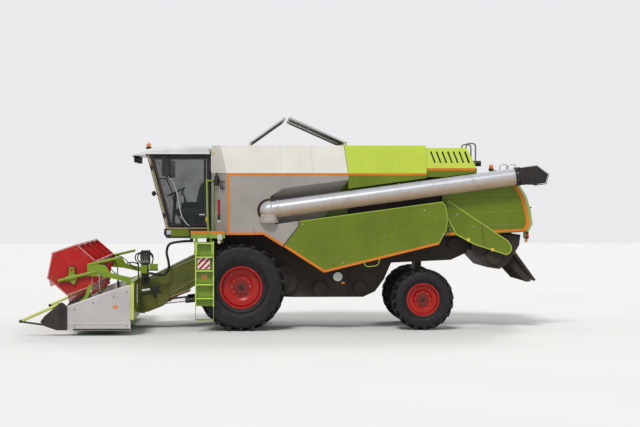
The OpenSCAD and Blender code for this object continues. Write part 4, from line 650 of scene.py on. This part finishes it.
# Side panels
for side, hand in SIDES:
    panel = f"panel_{hand}"
    # Lighter bands along the top and rear edges: painted highlights.
    edge = [(x, panel_top(x) - 0.004) for x in (1.232, 2.3, 3.3, 4.281)]
    band(f"panel_top_{hand}", edge, -0.016, SIDE_Y, side, "leaf_edge", panel)
    rear = [(4.281, 2.74), (4.346, 2.68), (4.391, 2.5), (4.394, 2.3), (4.366, 2.13), (4.22, 1.86)]
    band(f"panel_rear_{hand}", rear, -0.014, SIDE_Y, side, "leaf_edge", panel)
    crease(f"panel_crease_a_{hand}", [(1.04, 1.93), (2.01, 1.385)], 0.08, 0.006, SIDE_Y, side, "leaf", panel)
    crease(f"panel_crease_b_{hand}", [(1.89, 1.49), (3.655, 2.2), (4.36, 2.4)], 0.10, 0.005, SIDE_Y, side,
           "leaf", panel)
    for i, (x, z) in enumerate(((2.165, 1.445), (1.31, 2.26), (3.9, 2.56), (4.30, 2.05))):
        disc(f"panel_bolt_{hand}_{i}", x, SIDE_Y, z, 0.014, 0.008, side, "bright_steel", panel)
    handle = [(2.61, 1.512, 1.50), (2.63, 1.53, 1.40), (2.70, 1.535, 1.365), (2.86, 1.535, 1.385),
              (2.92, 1.53, 1.43), (2.94, 1.512, 1.54)]
    tube(f"panel_handle_{hand}", curve([(x, side * y, z) for x, y, z in handle]), 0.009, "leaf_edge", panel)
    # Front edge of the fixed skin, and its seam with the panel
    band(f"skirt_seam_{hand}", [(0.877, 1.80), (1.209, 2.224), (1.209, 2.325)], 0.006, SIDE_Y, side, "black")
    disc(f"skirt_bolt_{hand}", 1.10, SIDE_Y, 2.24, 0.014, 0.008, side, "bright_steel")
    # White disc and reflector on the chassis
    disc(f"plate_disc_{hand}", 2.09, 0.83, 1.12, 0.1, 0.006, side, "white")
    disc(f"plate_disc_rim_{hand}", 2.09, 0.828, 1.12, 0.107, 0.004, side, "black")
    box(f"reflector_{hand}", (2.16, side * 0.828, 0.965), (2.24, side * 0.84, 1.01), "amber")

# Grain tank's front corners
FACET_ALONG = Vector((0.34, 0.48, 0)).normalized()


def facet_axes(side):
    return Vector((FACET_ALONG.x, side * FACET_ALONG.y, 0)), Vector((-FACET_ALONG.y, side * FACET_ALONG.x, 0))


def on_facet(side, along, z, out=0.0):
    """A place on the slanting front corner: distance back from its front edge, height, distance off it."""
    direction, normal = facet_axes(side)
    return at(-0.64, side * 1.02, z) + direction * along + normal * out


def facet_box(name, side, along, z, size, key, out=0.0):
    place = on_facet(side, along, z, out + size[1] / 2)
    return turned_box(name, place, (*facet_axes(side), UP), size, key)


for side, hand in SIDES:
    facet_box(f"facet_edge_{hand}", side, 0.006, 2.74, (0.012, 0.004, 1.3), "black")
    facet_box(f"facet_line_{hand}", side, 0.29, 3.34, (0.57, 0.003, 0.006), "black")
    facet_box(f"facet_label_a_{hand}", side, 0.29, 2.63, (0.09, 0.003, 0.32), "red")
    facet_box(f"facet_label_b_{hand}", side, 0.29, 2.41, (0.09, 0.003, 0.11), "black")
    facet_box(f"facet_label_c_{hand}", side, 0.29, 2.33, (0.09, 0.003, 0.04), "white")
    facet_box(f"facet_sticker_{hand}", side, 0.09, 3.78, (0.07, 0.003, 0.06), "yellow")
bottle = [(0.0, -0.115), (0.045, -0.11), (0.048, -0.09), (0.048, 0.07), (0.04, 0.095), (0.016, 0.11),
          (0.016, 0.13), (0.0, 0.132)]
lathe("extinguisher", bottle, on_facet(LEFT, 0.28, 3.20, 0.055), UP, "black")
facet_box("extinguisher_bracket", LEFT, 0.28, 3.20, (0.11, 0.058, 0.03), "black")
facet_box("extinguisher_valve", LEFT, 0.28, 3.345, (0.06, 0.03, 0.025), "black", 0.04)
for i, along in enumerate((0.43, 0.50)):
    path = [on_facet(LEFT, along, z, out)
            for out, z in ((0.0, 3.02), (0.05, 3.03), (0.06, 3.10), (0.05, 3.17), (0.0, 3.18))]
    tube(f"facet_handle_{i}", curve(path), 0.012, "black", place=placed)

# Platform: painted edge, tread plate, small box with a lamp
box("platform_edge", (-1.063, -1.6035, 2.062), (-0.34, -1.6, 2.125), "orange")
box("platform_edge_front", (-1.0635, -1.6, 2.062), (-1.06, -0.945, 2.125), "orange")
box("platform_tread", (-1.025, -1.565, 2.085), (-0.345, -0.95, 2.089), "black")
box("platform_box", (-0.50, -1.625, 1.94), (-0.40, -1.6, 2.055), "grey_panel")
LAMP_PLACE, LAMP_TURN = at(-0.455, -1.575, 1.90), Vector((-0.3, -0.9, -0.2))
lathe("platform_lamp", [(0.0, -0.05), (0.03, -0.045), (0.042, 0.0), (0.044, 0.03), (0.04, 0.036)], LAMP_PLACE,
      LAMP_TURN, "black")
lathe("platform_lamp_glass", [(0.039, 0.0), (0.036, 0.006), (0.0, 0.009)],
      LAMP_PLACE + LAMP_TURN.normalized() * 0.036, LAMP_TURN, "clear_lens")
box("platform_lamp_arm", (-0.475, -1.59, 1.90), (-0.435, -1.57, 1.975), "black")

# Ladder: bright rails, tread strips, a warning board with plain stripes and a small label
for i, x in enumerate((-0.97, -0.60)):
    box(f"ladder_rail_{i}", (x + 0.002, -1.728, 0.53), (x + 0.028, -1.7245, 1.91), "ladder_edge", "ladder")
for i in range(5):
    z = 1.885 - i * 0.29
    box(f"ladder_tread_{i}", (-0.938, -1.793, z), (-0.602, -1.668, z + 0.004), "black", "ladder")
    box(f"ladder_step_edge_{i}", (-0.938, -1.7985, z - 0.028), (-0.602, -1.7945, z - 0.002), "ladder_edge",
        "ladder")


def clipped(polygon, low, high):
    """The part of a flat outline between two heights."""
    for limit, keep in ((low, 1), (high, -1)):
        out = []
        for (ax, az), (bx, bz) in zip(polygon, polygon[1:] + polygon[:1]):
            inside_a, inside_b = keep * (az - limit) >= 0, keep * (bz - limit) >= 0
            if inside_a:
                out.append((ax, az))
            if inside_a != inside_b:
                t = (limit - az) / (bz - az)
                out.append((ax + (bx - ax) * t, limit))
        polygon = out
    return polygon


# The board's edges, the margin round its stripes and how far they rise along it
BOARD_X0, BOARD_X1, BOARD_Z0, BOARD_Z1 = -0.915, -0.655, 1.32, 1.565
MARGIN, RISE = 0.006, 0.26
box("warning_board", (BOARD_X0, -1.733, BOARD_Z0), (BOARD_X1, -1.727, BOARD_Z1), "white", "ladder")
for i in range(-3, 5, 2):
    width = (BOARD_Z1 - BOARD_Z0) * 0.26
    start = BOARD_Z0 + i * width
    stripe = [(BOARD_X0 + MARGIN, start), (BOARD_X1 - MARGIN, start + RISE),
              (BOARD_X1 - MARGIN, start + RISE + width), (BOARD_X0 + MARGIN, start + width)]
    stripe = clipped(stripe, BOARD_Z0 + MARGIN, BOARD_Z1 - MARGIN)
    if len(stripe) > 2:
        plate(f"warning_stripe_{i + 3}", stripe, -1.7345, -1.733, "red", "ladder")
box("ladder_label", (-0.83, -1.6665, 1.12), (-0.72, -1.663, 1.20), "amber", "ladder")
for i, x in enumerate((-0.93, -0.61)):
    tube(f"ladder_hand_{i}", curve([(x, -1.73, 1.62), (x, -1.80, 1.66), (x, -1.80, 1.84), (x, -1.73, 1.89)]),
         0.010, "ladder_edge", "ladder")

# Cab: roof band, posts, skirt and the lamps under the visor
TAIL_X = 6.1703
for side, hand in SIDES:
    band(f"roof_band_{hand}", [(-2.02, 3.770), (-0.672, 3.770)], 0.022, ROOF_Y, side, "white")
    band(f"post_paint_{hand}", [(-1.598, 2.165), (-2.015, 3.757)], -0.034, CAB_Y, side, "beige")
    band(f"post_line_{hand}", [(-1.562, 2.165), (-1.979, 3.757)], -0.007, CAB_Y, side, "black")
    for name, x0, x1, z0, z1, out, key in (
            ("skirt", -1.50, -1.12, 2.0, 2.15, 0.006, "leaf"),
            ("skirt_nose", -1.60, -1.505, 2.04, 2.13, 0.005, "grey_panel"),
            ("sill", -1.60, -0.684, 2.163, 2.185, 0.004, "beige")):
        box(f"cab_{name}_{hand}", (x0, side * CAB_Y, z0), (x1, side * (CAB_Y + out), z1), key)
    for i, y in enumerate((0.30, 0.64)):
        for name, key, profile in (
                ("", "clear_lens", [(0.062, 0.0), (0.058, 0.010), (0.03, 0.018), (0.0, 0.020)]),
                ("case_", "black", [(0.0665, -0.092), (0.0675, -0.02), (0.0675, 0.004), (0.062, 0.006)])):
            place = at(-2.301, side * y, 3.66)
            lathe(f"visor_lamp_{name}{hand}_{i}", profile, place, (-1, 0, 0), key, sides=24)
    # Tail lamps: red and amber glass on dark cases
    for key, low, high in (("lamp_red", 1.955, 2.02), ("amber", 2.025, 2.09)):
        box(f"tail_glass_{key}_{hand}", (TAIL_X, side * 1.095, low), (TAIL_X + 0.012, side * 1.245, high),
            key)
    box(f"tail_case_{hand}", (6.1085, side * 1.085, 1.945), (TAIL_X, side * 1.2515, 2.0985), "black")
    disc(f"tail_side_{hand}", 6.14, 1.2515, 2.02, 0.028, 0.006, side, "lamp_red")
# Cab's front and door: visor, sticker, seal, handle, wiper and mirrors
plate("visor_under", [(-2.335, 3.722), (-2.05, 3.757), (-2.05, 3.748), (-2.335, 3.713)], -0.90, 0.90, "black")
box("door_sticker", (-0.765, -0.9335, 2.33), (-0.70, -0.93, 2.42), "yellow")
band("door_seal_front", [(-1.478, 2.285), (-1.878, 3.60)], -0.010, 0.9305, LEFT, "rust", "door")
box("door_handle", (-0.90, -0.985, 2.455), (-0.78, -0.969, 2.48), "bright_steel", "door")
tube("wiper_arm", [(-1.645, 0.10, 2.24), (-1.70, 0.13, 2.36), (-1.842, 0.30, 2.95)], 0.009, "black")
box("wiper_motor", (-1.655, 0.05, 2.19), (-1.60, 0.15, 2.27), "black")
turned_box("wiper_blade", at(-1.852, 0.31, 2.98), ((-0.262, 0.16, 1), (0, 1, -0.16), (1, 0, 0.262)),
           (0.86, 0.012, 0.02), "hose")
tube("knob_arm", [(-1.785, -0.925, 2.90), (-1.83, -0.985, 2.915), (-1.855, -0.99, 2.915)], 0.011, "black")
lathe("knob_mirror", [(0.0, -0.03), (0.045, -0.022), (0.058, 0.0), (0.052, 0.02), (0.0, 0.03)],
      at(-1.87, -1.0, 2.92), (0.8, -0.6, 0), "black")
for (side, hand), body in zip(SIDES, ("door", "machine")):
    turn = Matrix.Rotation(math.radians(40 * -side), 3, "Z")
    place = at(-1.6, side * 1.22, 3.66) + turn @ Vector((0.0275, 0, -0.185))
    axes = (turn @ Vector((1, 0, 0)), turn @ Vector((0, 1, 0)), UP)
    turned_box(f"mirror_glass_{hand}", place, axes, (0.005, 0.20, 0.33), "mirror", body)
    place -= turn @ Vector((0.003, 0, 0))
    turned_box(f"mirror_rim_{hand}", place, axes, (0.006, 0.228, 0.358), "black", body)
# Beacons: dark bases under the amber domes, and the rear one's post
base = [(0.0, -0.006), (0.058, -0.004), (0.060, 0.036), (0.05, 0.046), (0.048, 0.046)]
for name, *place in (("cab", -1.99, -0.76, 3.8844), ("rear", 5.44, -0.73, 3.42)):
    lathe(f"beacon_base_{name}", base, at(*place), UP, "black", sides=28)
lathe("beacon_post_rear", [(0.016, 0.0), (0.0165, 0.01), (0.0165, 0.175), (0.016, 0.176)],
      at(5.44, -0.73, 3.245), UP, "black", ring=True)
# Grab rails on the straw hood's roof
RAIL_Y = -0.98
for i, (x, foot_a, foot_b) in enumerate(((5.59, 3.208, 3.170), (5.77, 3.165, 3.125))):
    rail = [(0, foot_a), (0, 3.48), (0.015, 3.53), (0.06, 3.55), (0.12, 3.55), (0.15, 3.53), (0.155, 3.48),
            (0.155, foot_b)]
    rail = curve([(x + back, RAIL_Y, z) for back, z in rail])
    tube(f"roof_rail_{i}", rail, 0.012, "bright_steel", sides=10)
# Radiator screen between the hood and the straw hood, on the right only
SCREEN_X0, SCREEN_X1, SCREEN_Z0, SCREEN_Z1 = 3.953, 4.327, 2.80, 3.262
box("radiator_screen", (SCREEN_X0, 1.235, SCREEN_Z0), (SCREEN_X1, 1.24, SCREEN_Z1), "black")
for i in range(9):
    z = SCREEN_Z0 + 0.03 + i * 0.05
    box(f"radiator_slat_{i}", (SCREEN_X0, 1.24, z), (SCREEN_X1, 1.252, z + 0.014), "black")
for i, x in enumerate((SCREEN_X0, SCREEN_X1 - 0.022)):
    box(f"radiator_side_{i}", (x, 1.24, SCREEN_Z0), (x + 0.022, 1.262, SCREEN_Z1), "leaf")
# Grab rail on the door, and the header's safety strut on the feeder house
rail = [(-1.466, 3.187), (-1.39, 2.98), (-1.346, 2.778), (-1.307, 2.563), (-1.251, 2.391), (-1.16, 2.262)]
tube("door_rail", curve([(-1.552, -0.93, 3.26), (-1.545, -0.97, 3.25), *((x, RAIL_Y, z) for x, z in rail),
     (-1.115, -0.97, 2.232), (-1.105, -0.935, 2.228)]), 0.014, "bright_steel", "door", 10)
STRUT_AXES = ((0.633, 0, 0.234), (0, 1, 0), (-0.234, 0, 0.633))
turned_box("strut_top", at(-1.39, -0.712, 0.740), STRUT_AXES, (0.66, 0.03, 0.016), "beige", "header")
turned_box("strut_web", at(-1.386, -0.712, 0.716), STRUT_AXES, (0.62, 0.012, 0.036), "rust", "header")
for i, (x, z) in enumerate(((-1.62, 0.654), (-1.30, 0.768))):
    box(f"strut_stud_{i}", (x - 0.02, -0.71, z - 0.012), (x + 0.02, -0.68, z + 0.012), "black", "header")
# Cab inside: the screen on its arm, the floor mat and the seat's cushions
turned_box("screen", at(-1.30, 0.52, 2.98), ((0.3, 0, 1), (0, 1, 0), (-1, 0, 0.3)), (0.20, 0.26, 0.035),
           "black")
tube("screen_arm", [(-1.22, 0.5, 2.715), (-1.26, 0.5, 2.80), (-1.285, 0.52, 2.92)], 0.014, "black")
box("floor_mat", (-1.53, -0.80, 2.1605), (-0.76, 0.36, 2.168), "hose")

PAD_STEPS, PAD_CORNER = 16, 12


def cushion(name, low, high, crown, place, turn, key):
    """A crowned pad: a box with round edges whose faces swell, with two sewn channels along it."""
    scale = [(b - a) / 2 for a, b in zip(low, high)]
    middle = Vector([(a + b) / 2 for a, b in zip(low, high)])
    made = bmesh.new()
    for face in range(6):
        axis, sign = face // 2, 1 if face % 2 else -1
        grid = []
        for i in range(PAD_STEPS + 1):
            for j in range(PAD_STEPS + 1):
                u, v = i / PAD_STEPS * 2 - 1, j / PAD_STEPS * 2 - 1
                unit = [0.0, 0.0, 0.0]
                unit[axis], unit[(axis + 1) % 3], unit[(axis + 2) % 3] = sign, u, v
                length = sum(abs(c) ** PAD_CORNER for c in unit) ** (1 / PAD_CORNER)
                point = Vector(unit) / length
                swell = (1 - u ** 4) * (1 - v ** 4)
                groove = 0.5 * math.exp(-((point.y * 2.2) ** 2 - 1) ** 2 / 0.03)
                moved = Vector([c * s for c, s in zip(point, scale)])
                moved[axis] += sign * crown * (swell - groove * swell)
                grid.append(made.verts.new(place + turn @ (middle + moved)))
        for i in range(PAD_STEPS):
            for j in range(PAD_STEPS):
                a = i * (PAD_STEPS + 1) + j
                made.faces.new([grid[a], grid[a + 1], grid[a + PAD_STEPS + 2], grid[a + PAD_STEPS + 1]])
    bmesh.ops.remove_doubles(made, verts=made.verts, dist=0.0005)
    pad = from_bmesh(name, made, key, "machine", smooth=True)


SEAT_PLACE = at(-1.13, 0, 2.1603)
UPRIGHT = Matrix.Identity(3)
LEANT = Matrix.Rotation(math.radians(12), 3, "Y")
cushion("seat_pad", (-0.298, -0.268, 0.281), (0.238, 0.268, 0.429), 0.020, SEAT_PLACE, UPRIGHT, "seat_cloth")
cushion("back_pad", (-0.072, -0.246, -0.02), (0.072, 0.246, 0.58), 0.020,
        SEAT_PLACE + Vector((0.20, 0, 0.40)), LEANT, "seat_cloth")
for side, hand in SIDES:
    y = side * 0.29
    cushion(f"arm_pad_{hand}", (-0.126, y - 0.036, 0.517), (0.206, y + 0.036, 0.574), 0.004, SEAT_PLACE,
            UPRIGHT, "black")

# Unloading auger: the recess about its elbow, the elbow's dome and bands, the spout's edges, lip and bolts
TUBE_AXIS = Vector((math.cos(TUBE_SLOPE), 0, math.sin(TUBE_SLOPE)))
TUBE_DOWN = Vector((math.sin(TUBE_SLOPE), 0, -math.cos(TUBE_SLOPE)))


def on_tube(along, down=0.0, out=0.0):
    return at(*ELBOW) + TUBE_AXIS * along + TUBE_DOWN * down + Vector((0, out, 0))


# Round edge of the recess in the tank's side, with its rusty rim
def recess_arc(radius, first, last):
    return arc(ELBOW[0], ELBOW[2], radius, range(first, last + 1, 6))


RECESS_R, RECESS_OUT_R = 0.238, 0.306
plate("recess_edge", [(0.272, panel_top(0.272) - 0.01), (0.272, 2.722)]
      + recess_arc(RECESS_OUT_R, 84, 144)[::-1] + recess_arc(RECESS_R, 84, 300)
      + [(0.72, panel_top(0.72) - 0.01)], -SIDE_Y + 0.002, -SIDE_Y + 0.012, "tank")
plate("recess_rim", recess_arc(RECESS_R, 84, 216) + recess_arc(RECESS_R + 0.014, 84, 216)[::-1],
      -SIDE_Y - 0.004, -SIDE_Y + 0.014, "rust")

TUBE_SKIN_R = 0.1835


def round_tube(name, profile, along, direction=TUBE_AXIS, ring=True):
    return lathe(name, profile, on_tube(along), direction, "tube", "auger", 40, ring)


round_tube("elbow_dome", [(0.192, -0.02), *arc(0, 0, 0.2005, range(0, 91, 9))], 0, -TUBE_AXIS, False)
profile = [(0.180, -0.055), (0.2015, -0.05), (0.2035, -0.02), (0.2015, 0.012), (0.196, 0.016)]
round_tube("elbow_band", profile, 0, -TUBE_AXIS)
profile = [(TUBE_SKIN_R, -0.003), (0.1975, 0.0), (0.1985, 0.004), (0.1985, 0.022), (0.1975, 0.028),
           (TUBE_SKIN_R, 0.031)]
round_tube("collar_paint", profile, 0.188)
for i, (along, radius) in enumerate(((1.35, 0.1865), (2.80, 0.1925), (4.20, 0.1865))):
    profile = [(TUBE_SKIN_R, -0.002), (radius, 0.0), (radius, 0.032), (TUBE_SKIN_R, 0.035)]
    round_tube(f"tube_band_{i}", profile, along)
# How far along the tube the spout and its bolts sit. The cheek's corners are counted down from the tube's
# axis and along it from the spout's place.
SPOUT_ALONG, SPOUT_BOLTS = 5.3903, 5.345
SPOUT_EDGE = [(-0.182, 0.02), (-0.182, 0.384), (-0.123, 0.440), (0.037, 0.602), (0.222, 0.520),
              (0.222, 0.342), (0.187, 0.125), (0.187, 0.02)]
for side, hand in SIDES:
    path = [on_tube(SPOUT_ALONG + along, down, side * 0.184) for down, along in SPOUT_EDGE]
    for i in range(len(path) - 1):
        tube(f"spout_edge_{hand}_{i}", path[i:i + 2], 0.009, "bright_edge" if i < 5 else "black", "auger", 6,
             place=placed)
turned_box("spout_lip", on_tube(SPOUT_ALONG + 0.43, 0.236), (TUBE_AXIS, (0, 1, 0), TUBE_DOWN),
           (0.20, 0.384, 0.014), "hose", "auger")
for i in range(8):
    turn = math.radians(45 * i + 22)
    reach = (TUBE_DOWN * math.cos(turn) + Vector((0, math.sin(turn), 0))) * 0.198
    turned_box(f"spout_bolt_{i}", on_tube(SPOUT_BOLTS) + reach,
               (TUBE_AXIS, TUBE_AXIS.cross(reach), reach), (0.022, 0.022, 0.012), "steel", "auger")

# Wheels: hub rings and caps, nuts, sidewall ribs, valve
for end, axle_x, axle_z, track_y, rim_r, width, nuts in (
        ("front", 0, 0.925, 1.28, 0.43, 0.64, 10), ("rear", REAR_AXLE, 0.655, 1.25, 0.33, 0.42, 8)):
    hub_r, face = rim_r * 0.34, width * 0.1 + 0.02
    for side, hand in SIDES:
        body = f"{end}_wheel_{hand}"
        outward = (0, side, 0)

        def wheel_place(out, turn=0.0, radius=0.0):
            x, z = radius * math.cos(turn), radius * math.sin(turn)
            return at(axle_x + x, side * (track_y + out), axle_z + z)

        ring = [(hub_r * 0.42, -0.006), (hub_r * 1.015, -0.05), (hub_r * 1.015, -0.004), (hub_r * 0.99, 0.0),
                (hub_r * 0.42, 0.0)]
        place = wheel_place(face + 0.0612)
        lathe(f"{end}_hub_ring_{hand}", ring, place, outward, "dark_red", body, 40, ring=True)
        cap = [(hub_r * 0.405, -0.024), (hub_r * 0.41, -0.002), (hub_r * 0.34, 0.006), (0.0, 0.008)]
        lathe(f"{end}_hub_cap_{hand}", cap, wheel_place(face + 0.0862), outward, "frame", body, 28)
        nut = [(0.0165, -0.012), (0.0165, 0.002), (0.010, 0.005), (0.010, 0.016), (0.0, 0.018)]
        for i in range(nuts):
            place = wheel_place(face + 0.022, 2 * math.pi * i / nuts, hub_r * 1.32)
            lathe(f"{end}_nut_{hand}_{i}", nut, place, outward, "steel", body, 6)
        for i, (share, out) in enumerate(((0.20, 0.952), (0.62, 0.997))):
            radius = rim_r + 0.03 + (axle_z - 0.042 - rim_r - 0.10) * share
            rib = [(radius - 0.010, -0.02), (radius - 0.006, 0.005), (radius + 0.004, 0.005),
                   (radius + 0.010, -0.02)]
            place = wheel_place(width / 2 * out - 0.002)
            lathe(f"{end}_wall_rib_{hand}_{i}", rib, place, outward, "tyre", body, 64, ring=True)
        valve = [wheel_place(face + out, 2.2, rim_r * share) for out, share in ((0.034, 0.86), (0.075, 0.84))]
        tube(f"{end}_valve_{hand}", valve, 0.006, "bright_steel", body, place=placed)

# Engine cover's screens, the rails behind it, and the exhaust's tip and ring
for side, hand in SIDES:
    inner = [(1.405, 3.30), (1.405, 3.45), (1.22, 3.852), (1.212, 3.848), (1.397, 3.447), (1.397, 3.30)]
    section_piece(f"screen_{hand}", [(side * y, z) for y, z in inner], 3.985, 4.80, "black")
top = [(-1.21, 3.85), (1.21, 3.85), (1.21, 3.845), (-1.21, 3.845)]
section_piece("screen_top", top, 3.985, 4.79, "black")
BACK_RAIL = [(5.02, 3.56), (5.05, 3.62), (5.052, 3.92), (5.03, 3.985), (4.98, 4.0), (4.90, 4.0), (4.86, 3.97),
             (4.845, 3.885)]
for name, y in (("a", -1.05), ("b", -0.30)):
    tube(f"back_rail_{name}", curve([(x, y, z) for x, z in BACK_RAIL]), 0.016, "steel", sides=10)
EXHAUST_Y, EXHAUST_Z = -0.44, 3.58
lathe("exhaust_tip", [(0.051, -0.10), (0.0515, 0.0), (0.058, 0.004), (0.0615, 0.0), (0.0615, -0.22)],
      at(5.25, EXHAUST_Y, EXHAUST_Z), (1, 0, 0), "black", sides=28, ring=True)
lathe("exhaust_ring", [(0.061, 0.0), (0.085, 0.002), (0.085, 0.008), (0.061, 0.010)],
      at(5.034, EXHAUST_Y, EXHAUST_Z), (1, 0, 0), "rust", sides=28, ring=True)

# Straw hood's rear: band, handles and bolts
section_piece("tail_band", [(-1.05, 2.30), (1.05, 2.30), (1.05, 2.36), (-1.05, 2.36)], 6.268, 6.2745,
              "orange")
for side, hand in SIDES:
    handle = [(6.262, 0.62), (6.30, 0.62), (6.30, 0.86), (6.262, 0.86)]
    tube(f"tail_handle_{hand}", curve([(x, side * y, 2.62) for x, y in handle]), 0.011, "black")
    for i, x in enumerate((4.62, 4.98)):
        disc(f"hood_bolt_{hand}_{i}", x, DRIVE_Y, 2.47 - i * 0.26, 0.013, 0.007, side, "bright_steel")

# Header: hoses from the machine, the coupler's blocks, fittings and hose loops
SIDE_PLACE = -0.90
hose_path = [(-1.04, 0.03, 1.90), (-1.30, 0, 1.885), (-1.535, 0, 1.831), (-1.60, 0, 1.66), (-1.56, 0, 1.45),
             (-1.56, 0, 1.30), (-1.66, 0, 1.18), (-1.82, 0, 1.18), (-1.966, 0, 1.20), (-2.06, 0.02, 1.12),
             (-2.075, 0.08, 1.05)]
hose_path = curve([(x, SIDE_PLACE + y, z) for x, y, z in hose_path], 6)
hose = tube("header_hose", hose_path, 0.027, "hose", None, 14)
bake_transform(hose)
box("hose_clamp", (-1.10, SIDE_PLACE - 0.04, 1.87), (-1.03, -0.80, 1.955), "black")
box("coupler_green", (-2.165, -0.832, 1.20), (-2.02, -0.801, 1.38), "arm_green", "header")
box("coupler_grey", (-2.155, -0.838, 1.425), (-1.985, -0.8205, 1.585), "steel", "header")
box("coupler_cap", (-2.175, -0.835, 1.595), (-1.955, -0.64, 1.612), "black", "header")
for i in range(4):
    x = -2.14 + i * 0.05
    lathe(f"hose_fitting_{i}", [(0.0165, -0.02), (0.0185, 0.0), (0.0185, 0.03), (0.015, 0.034)],
          at(x - 0.004, -0.80, 1.475), (-0.15, -0.35, 0.8), "bright_steel", "header", 6)
for i, reach in enumerate((0.0, 0.05)):
    loop = [(-2.21 + reach, -0.82 + reach, 1.42), (-2.27 + reach, -0.85, 1.50), (-2.26 + reach, -0.85, 1.60),
            (-2.15, -0.84 + reach, 1.655 - reach * 0.4), (-1.98, -0.84 + reach, 1.66 - reach * 0.4),
            (-1.90, -0.83, 1.58 - reach), (-1.905, -0.80, 1.46), (-1.93, -0.77, 1.38)]
    tube(f"coupler_hose_{i}", curve(loop), 0.013, "hose", "header")
box("green_box", (-1.975, -0.80, 1.28), (-1.80, -0.695, 1.40), "arm_green", "header")
box("green_box_plate", (-1.985, -0.79, 1.255), (-1.79, -0.691, 1.28), "black", "header")
box("bracket_post", (-2.225, -0.83, 1.085), (-2.195, -0.79, 1.43), "black", "header")
tube("bracket_bar", [(-2.21, -0.81, 1.40), (-2.33, -0.81, 1.44), (-2.46, -0.81, 1.42)], 0.014, "black",
     "header")
REEL_X, REEL_Z = -3.48, 1.345


# Drive shafts, feeder house, end panels and reel, on both sides
def round_reel(radius):
    """The reel's six corners at this radius, in X and Z, with the first one once more."""
    return arc(REEL_X, REEL_Z, radius, range(19, -342, -60))


for side, hand in SIDES:
    disc(f"drive_shield_{hand}", -1.86, 0.785, 0.86, 0.098, 0.006, side, "black", "header")
    tube(f"drive_tube_{hand}", [(-1.90, side * 0.752, 0.8585), (-2.14, side * 0.752, 0.8265)], 0.026,
         "bright_edge", "header", 16)
    crease(f"feeder_rib_{hand}", [(-1.72, 0.62), (-0.62, 1.28)], 0.05, 0.010, FEEDER_Y, side, "feeder_green",
           "header")
    crease(f"feeder_rib_top_{hand}", [(-1.98, 1.045), (-1.50, 1.29), (-0.55, 1.70)], 0.04, 0.008, FEEDER_Y,
           side, "feeder_green", "header")
    box(f"post_paint_{hand}", (-2.258, side * 2.6805, 0.335), (-2.192, side * 2.684, 1.075), "post_green",
        "header")
    # End panels: painted edge, seam and bolts
    top = [(-3.548, 0.605), (-2.90, 0.838), (-2.35, 1.022), (-2.265, 1.027)]
    band(f"end_edge_{hand}", top, -0.018, END_Y, side, "bright_edge", "header")
    crease(f"end_crease_{hand}", [(-3.50, 0.25), (-2.32, 0.25)], 0.05, 0.008, END_Y, side, "grey_panel",
           "header")
    band(f"end_skid_{hand}", [(-3.43, 0.118), (-2.27, 0.118)], 0.03, END_Y, side, "black", "header")
    bolts = ((-3.40, 0.55), (-3.02, 0.68), (-2.60, 0.80), (-2.34, 0.90), (-3.40, 0.20), (-2.34, 0.20))
    for i, (x, z) in enumerate(bolts):
        disc(f"end_bolt_{hand}_{i}", x, END_Y, z, 0.014, 0.008, side, "steel", "header")
    box(f"end_reflector_{hand}", (-2.62, side * 2.6805, 0.56), (-2.52, side * 2.686, 0.62), "amber", "header")
    tube(f"divider_bar_{hand}", [(-4.46, side * 2.66, 0.3182), (-3.72, side * 2.66, 0.646)], 0.0295,
         "post_green", "header", 16)
    lathe(f"divider_cap_{hand}", [(0.0305, -0.03), (0.032, 0.0), (0.026, 0.02), (0.0, 0.028)],
          at(-4.50, side * 2.66, 0.30), (-0.9, 0, -0.35), "black", "header")
    # Reel: pale pink edges as painted highlights, bolts, ribs and the dark hub on each end plate
    corners, bolts = round_reel(0.53), round_reel(0.43)
    for i, rib in enumerate(zip(round_reel(0.14)[:6], round_reel(0.40))):
        band(f"reel_edge_{hand}_{i}", corners[i:i + 2], -0.014, REEL_Y, side, "pale_pink", "reel")
        disc(f"reel_bolt_{hand}_{i}", bolts[i][0], REEL_Y, bolts[i][1], 0.016, 0.009, side, "steel", "reel")
        crease(f"reel_rib_{hand}_{i}", list(rib), 0.05, 0.003, REEL_Y, side, "red", "reel")
    lathe(f"reel_hub_{hand}", [(0.10, -0.002), (0.096, 0.012), (0.06, 0.016), (0.032, 0.016)],
          at(REEL_X, side * 2.401, REEL_Z), (0, side, 0), "dark_red", "reel", 28)
    hose_line = [(-2.45, 2.42, 1.16), (-2.62, 2.425, 1.30), (-2.80, 2.43, 1.452), (-3.0, 2.43, 1.475),
                 (-3.10, 2.44, 1.47)]
    hose_line = curve([(x, side * y, z) for x, y, z in hose_line], 5)
    tube(f"reel_hose_{hand}", hose_line, 0.010, "hose", "reel_arms")
